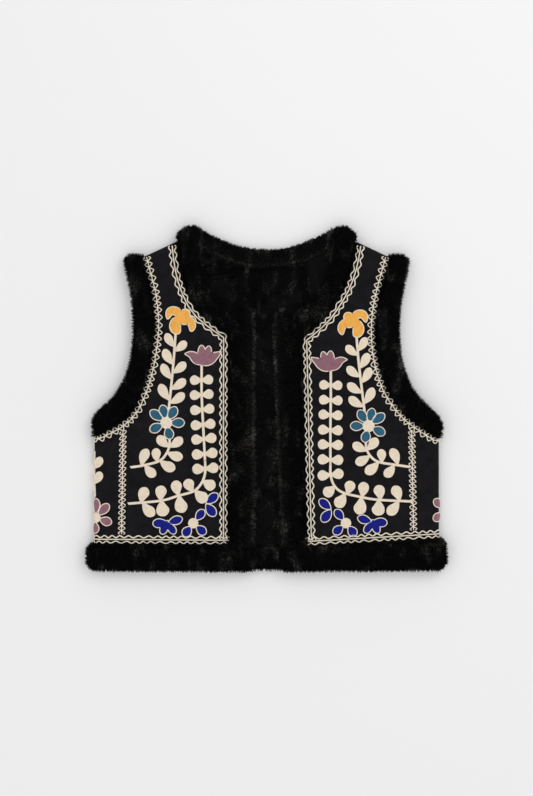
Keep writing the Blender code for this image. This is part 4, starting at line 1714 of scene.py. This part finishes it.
@dataclass
class Garment:
    """The whole gilet."""

    threads: dict[Yarn, bpy.types.Material] = field(default_factory=dict)

    def furs(self) -> list[Fur]:
        """Lists the fur bands."""
        # The back neck band's lower edge and the front bands' inner edges get a painted highlight on faces
        # turned these ways.
        down = Vector((0.0, -0.9, 0.0))
        bands = [Fur("hem_fur"), Fur("neck_fur_back", pile_mm=2.8, seed=2, painted_sheen_way=down)]
        for number, side in enumerate(Side):
            inward = Vector((-0.7 * side.sign, 0.0, 0.0))
            bands += [
                Fur(f"armhole_fur_{side.value}", seed=10 + number),
                Fur(f"neck_fur_{side.value}", pile_mm=4.0, seed=20 + number),
                Fur(f"front_fur_{side.value}", seed=30 + number, painted_sheen_way=inward),
            ]
        return bands

    def braids(self, side: Side) -> list[Braid]:
        """Lists the braids of one side.

        Args:
            side: The side.

        Returns:
            The braids.
        """
        name = side.value
        around = {"near": 0.1, "far": 1.3, "period_mm": 9.4, "cord_mm": 1.45, "more_mm": (4.0, 0.0)}
        return [
            Braid(f"edge_braid_{name}", end_axis=1, end_way=1, more_mm=(1.0, 6.0)),
            Braid(f"hem_braid_{name}", end_axis=0, end_way=-side.sign, more_mm=(2.5, 0.0)),
            Braid(f"armhole_braid_{name}", end_axis=1, end_way=1, **around),
            Braid(f"side_braid_{name}", 1, -1, near=0.12, far=1.12, period_mm=7.4, cord_mm=1.3),
        ]

    def build(self) -> None:
        """Builds every piece and rides it on the garment."""
        wool = FeltedWool().build()
        plush = PlushFur().build()
        self.threads = {yarn: thread.build() for yarn, thread in THREADS.items()}
        solids = search_tree(*(node.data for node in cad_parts.values()))
        pile, braid = pile_tool(), braid_tool()
        for fur in self.furs():
            piece = fur.build(pile, plush, solids)
            hand_in(piece, "fur", fur.node)
        self.line_back(pile, plush, solids)
        for panel in self.panels():
            piece = panel.build(wool)
            hand_in(piece, "cloth", panel.node)
            panel.declare(piece)
        yarn = yarn_tool()
        for side in Side:
            for strip in self.braids(side):
                hand_in(strip.build(side, braid, self.threads[Yarn.BRAID]), "braid", strip.node)
            self.embroider(side, yarn)

    def embroider(self, side: Side, tool: Tool) -> None:
        """Sews one side's embroidery, one piece for each yarn.

        Args:
            side: The side.
            tool: The tree that makes yarn.
        """
        names = (f"front_{side.value}_cloth", f"side_{side.value}_cloth")
        face = search_tree(*(bpy.data.objects[name].data for name in names))
        low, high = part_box(f"side_{side.value}")
        radius = high.z / 2 / MM
        reach = max(abs(low.x), abs(high.x)) / MM
        cloth = Cloth(side, face, radius, reach - radius)
        for yarn, stitching in SEWING[side].sew().items():
            parts = []
            for kind, lines in (("fill", stitching.fills), ("line", stitching.lines)):
                if not lines:
                    continue
                parts.append(self.draw(f"{yarn.value}_{kind}_{side.value}", lines, cloth))
                strand = FILL_STRAND if kind == "fill" else LINE_STRAND
                tool.apply(parts[-1], material=self.threads[yarn], **strand.inputs())
            for part in parts:
                hand_in(part, yarn.value)

    def draw(self, name: str, lines: list[Stitch], cloth: Cloth) -> bpy.types.Object:
        """Draws lines on the cloth.

        Args:
            name: The piece's name.
            lines: The lines' points: outward, up the garment and over the cloth, in millimetres.
            cloth: The cloth.

        Returns:
            A piece of edges.
        """
        points = [cloth.place(*point) for line in lines for point in line]
        edges = []
        first = 0
        for line in lines:
            edges += [(first + i, first + i + 1) for i in range(len(line) - 1)]
            first += len(line)
        mesh = bpy.data.meshes.new(name)
        mesh.from_pydata(points, edges, [])
        return new_piece(name, mesh)

    def line_back(self, pile: Tool, plush: bpy.types.Material, solids: BVHTree) -> None:
        """Builds the back's fur lining.

        Args:
            pile: The tree that sets the hairs.
            plush: The fur's material.
            solids: Search tree over every CAD node.
        """
        lining = Lining(
            creases=[
                Crease((-83.0, 170.0), (-52.0, 132.0), 3.0, 9.0),
                Crease((-76.0, 158.0), (12.0, 149.0), -2.0, 12.0),
                Crease((84.0, 172.0), (60.0, 140.0), 2.6, 9.0),
                Crease((-70.0, 184.0), (70.0, 184.0), -1.8, 6.0),
                Crease((-100.0, 150.0), (-99.0, 40.0), 2.0, 7.0),
                Crease((-14.0, 60.0), (16.0, 20.0), 2.2, 12.0),
                Crease((-18.0, -40.0), (12.0, -90.0), 2.2, 12.0),
                Crease((18.0, -120.0), (-14.0, -160.0), 2.0, 12.0),
            ]
        )
        made = []
        for name, finer in (("back_lining_skin", 0), ("back_lining_pile", 1)):
            mesh = subdivided(name, merged_copy(lining.node), lining.levels + finer, EDGE_OVER_DEG)
            lining.shape(mesh)
            lining.sink(mesh, solids)
            mesh.materials.clear()
            mesh.materials.append(plush)
            made.append(new_piece(mesh.name, mesh))
        skin, hairs = made
        pile.apply(hairs, hairs=lining.hairs_per_mm2 / MM**2, seed=40, keep_skin=False, material=plush)
        hand_in(skin, "lining", lining.node)
        hand_in(hairs, "lining")

    def panels(self) -> list[Panel]:
        """Lists the cloth panels."""
        return [
            Panel(
                "back_panel",
                (442.0, 416.0),
                160000.0,
                (),
                [
                    Crease((-150.0, 60.0), (-20.0, -30.0), 1.0, 22.0),
                    Crease((130.0, 90.0), (60.0, -60.0), 0.9, 20.0),
                    Crease((-60.0, -90.0), (110.0, -140.0), 0.9, 24.0),
                ],
            ),
            *(
                Panel(
                    f"front_{s.value}",
                    (152.0, 438.0),
                    45000.0,
                    ("back_lining_skin",),
                    [
                        Crease((s.sign * 112.0, 176.0), (s.sign * 150.0, 120.0), 0.5, 12.0),
                        Crease((s.sign * 90.0, -60.0), (s.sign * 160.0, -20.0), 0.4, 14.0),
                    ],
                )
                for s in Side
            ),
            *(Panel(f"side_{s.value}", (66.0, 172.0), 10000.0, ("back_lining_skin",)) for s in Side),
        ]


@dataclass(frozen=True)
class Studio:
    """A plain pale floor, a broad key light from the upper right, and the camera straight above."""

    photo_px: tuple[int, int] = (533, 796)
    mm_per_px: float = 1.4
    lens_mm: float = 85.0
    sensor_mm: float = 36.0
    sky: float = 0.885
    key_watts: float = 5.0
    key_place: tuple[float, float, float] = (0.9, 1.1, 1.5)
    key_size: float = 0.9

    def build(self) -> None:
        """Sets up the floor, lights, world and camera."""
        scene = bpy.context.scene
        scene.view_settings.view_transform = "Standard"
        world = bpy.data.worlds.new("studio_air")
        world.use_nodes = True
        world.node_tree.nodes["Background"].inputs["Strength"].default_value = self.sky
        world.node_tree.nodes["Background"].inputs["Color"].default_value = (1.0, 1.0, 1.0, 1.0)
        scene.world = world
        self.lay_floor()
        self.hang_key()
        self.place_camera()

    def lay_floor(self) -> None:
        """Lays the floor at the height that the garment lies at."""
        bm = bmesh.new()
        bmesh.ops.create_grid(bm, x_segments=1, y_segments=1, size=4.0)
        mesh = bpy.data.meshes.new("studio_floor")
        bm.to_mesh(mesh)
        bm.free()
        mesh.materials.append(StudioPaper().build())
        new_piece("studio_floor", mesh)

    def hang_key(self) -> None:
        """Hangs the key light."""
        light = bpy.data.lights.new("key", "AREA")
        light.energy = self.key_watts
        light.size = self.key_size
        key = bpy.data.objects.new("key", light)
        key.location = self.key_place
        key.rotation_euler = Vector(self.key_place).to_track_quat("Z", "Y").to_euler()
        bpy.context.scene.collection.objects.link(key)

    def place_camera(self) -> None:
        """Places the camera so that a pixel of the photo is as wide as it was taken to be."""
        camera = bpy.data.cameras.new("camera")
        camera.lens = self.lens_mm
        camera.sensor_width = self.sensor_mm
        camera.sensor_fit = "AUTO"
        long_side = max(self.photo_px) * self.mm_per_px * MM
        made = bpy.data.objects.new("camera", camera)
        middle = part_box("front_left")[1].z
        made.location = (0.0, 0.0, middle + long_side * self.lens_mm / self.sensor_mm)
        bpy.context.scene.collection.objects.link(made)
        bpy.context.scene.camera = made


def main() -> None:
    """Builds the garment and the studio."""
    logging.basicConfig(level=logging.INFO, format="%(name)s %(message)s")
    Garment().build()
    Studio().build()


if __name__ == "__main__":
    main()
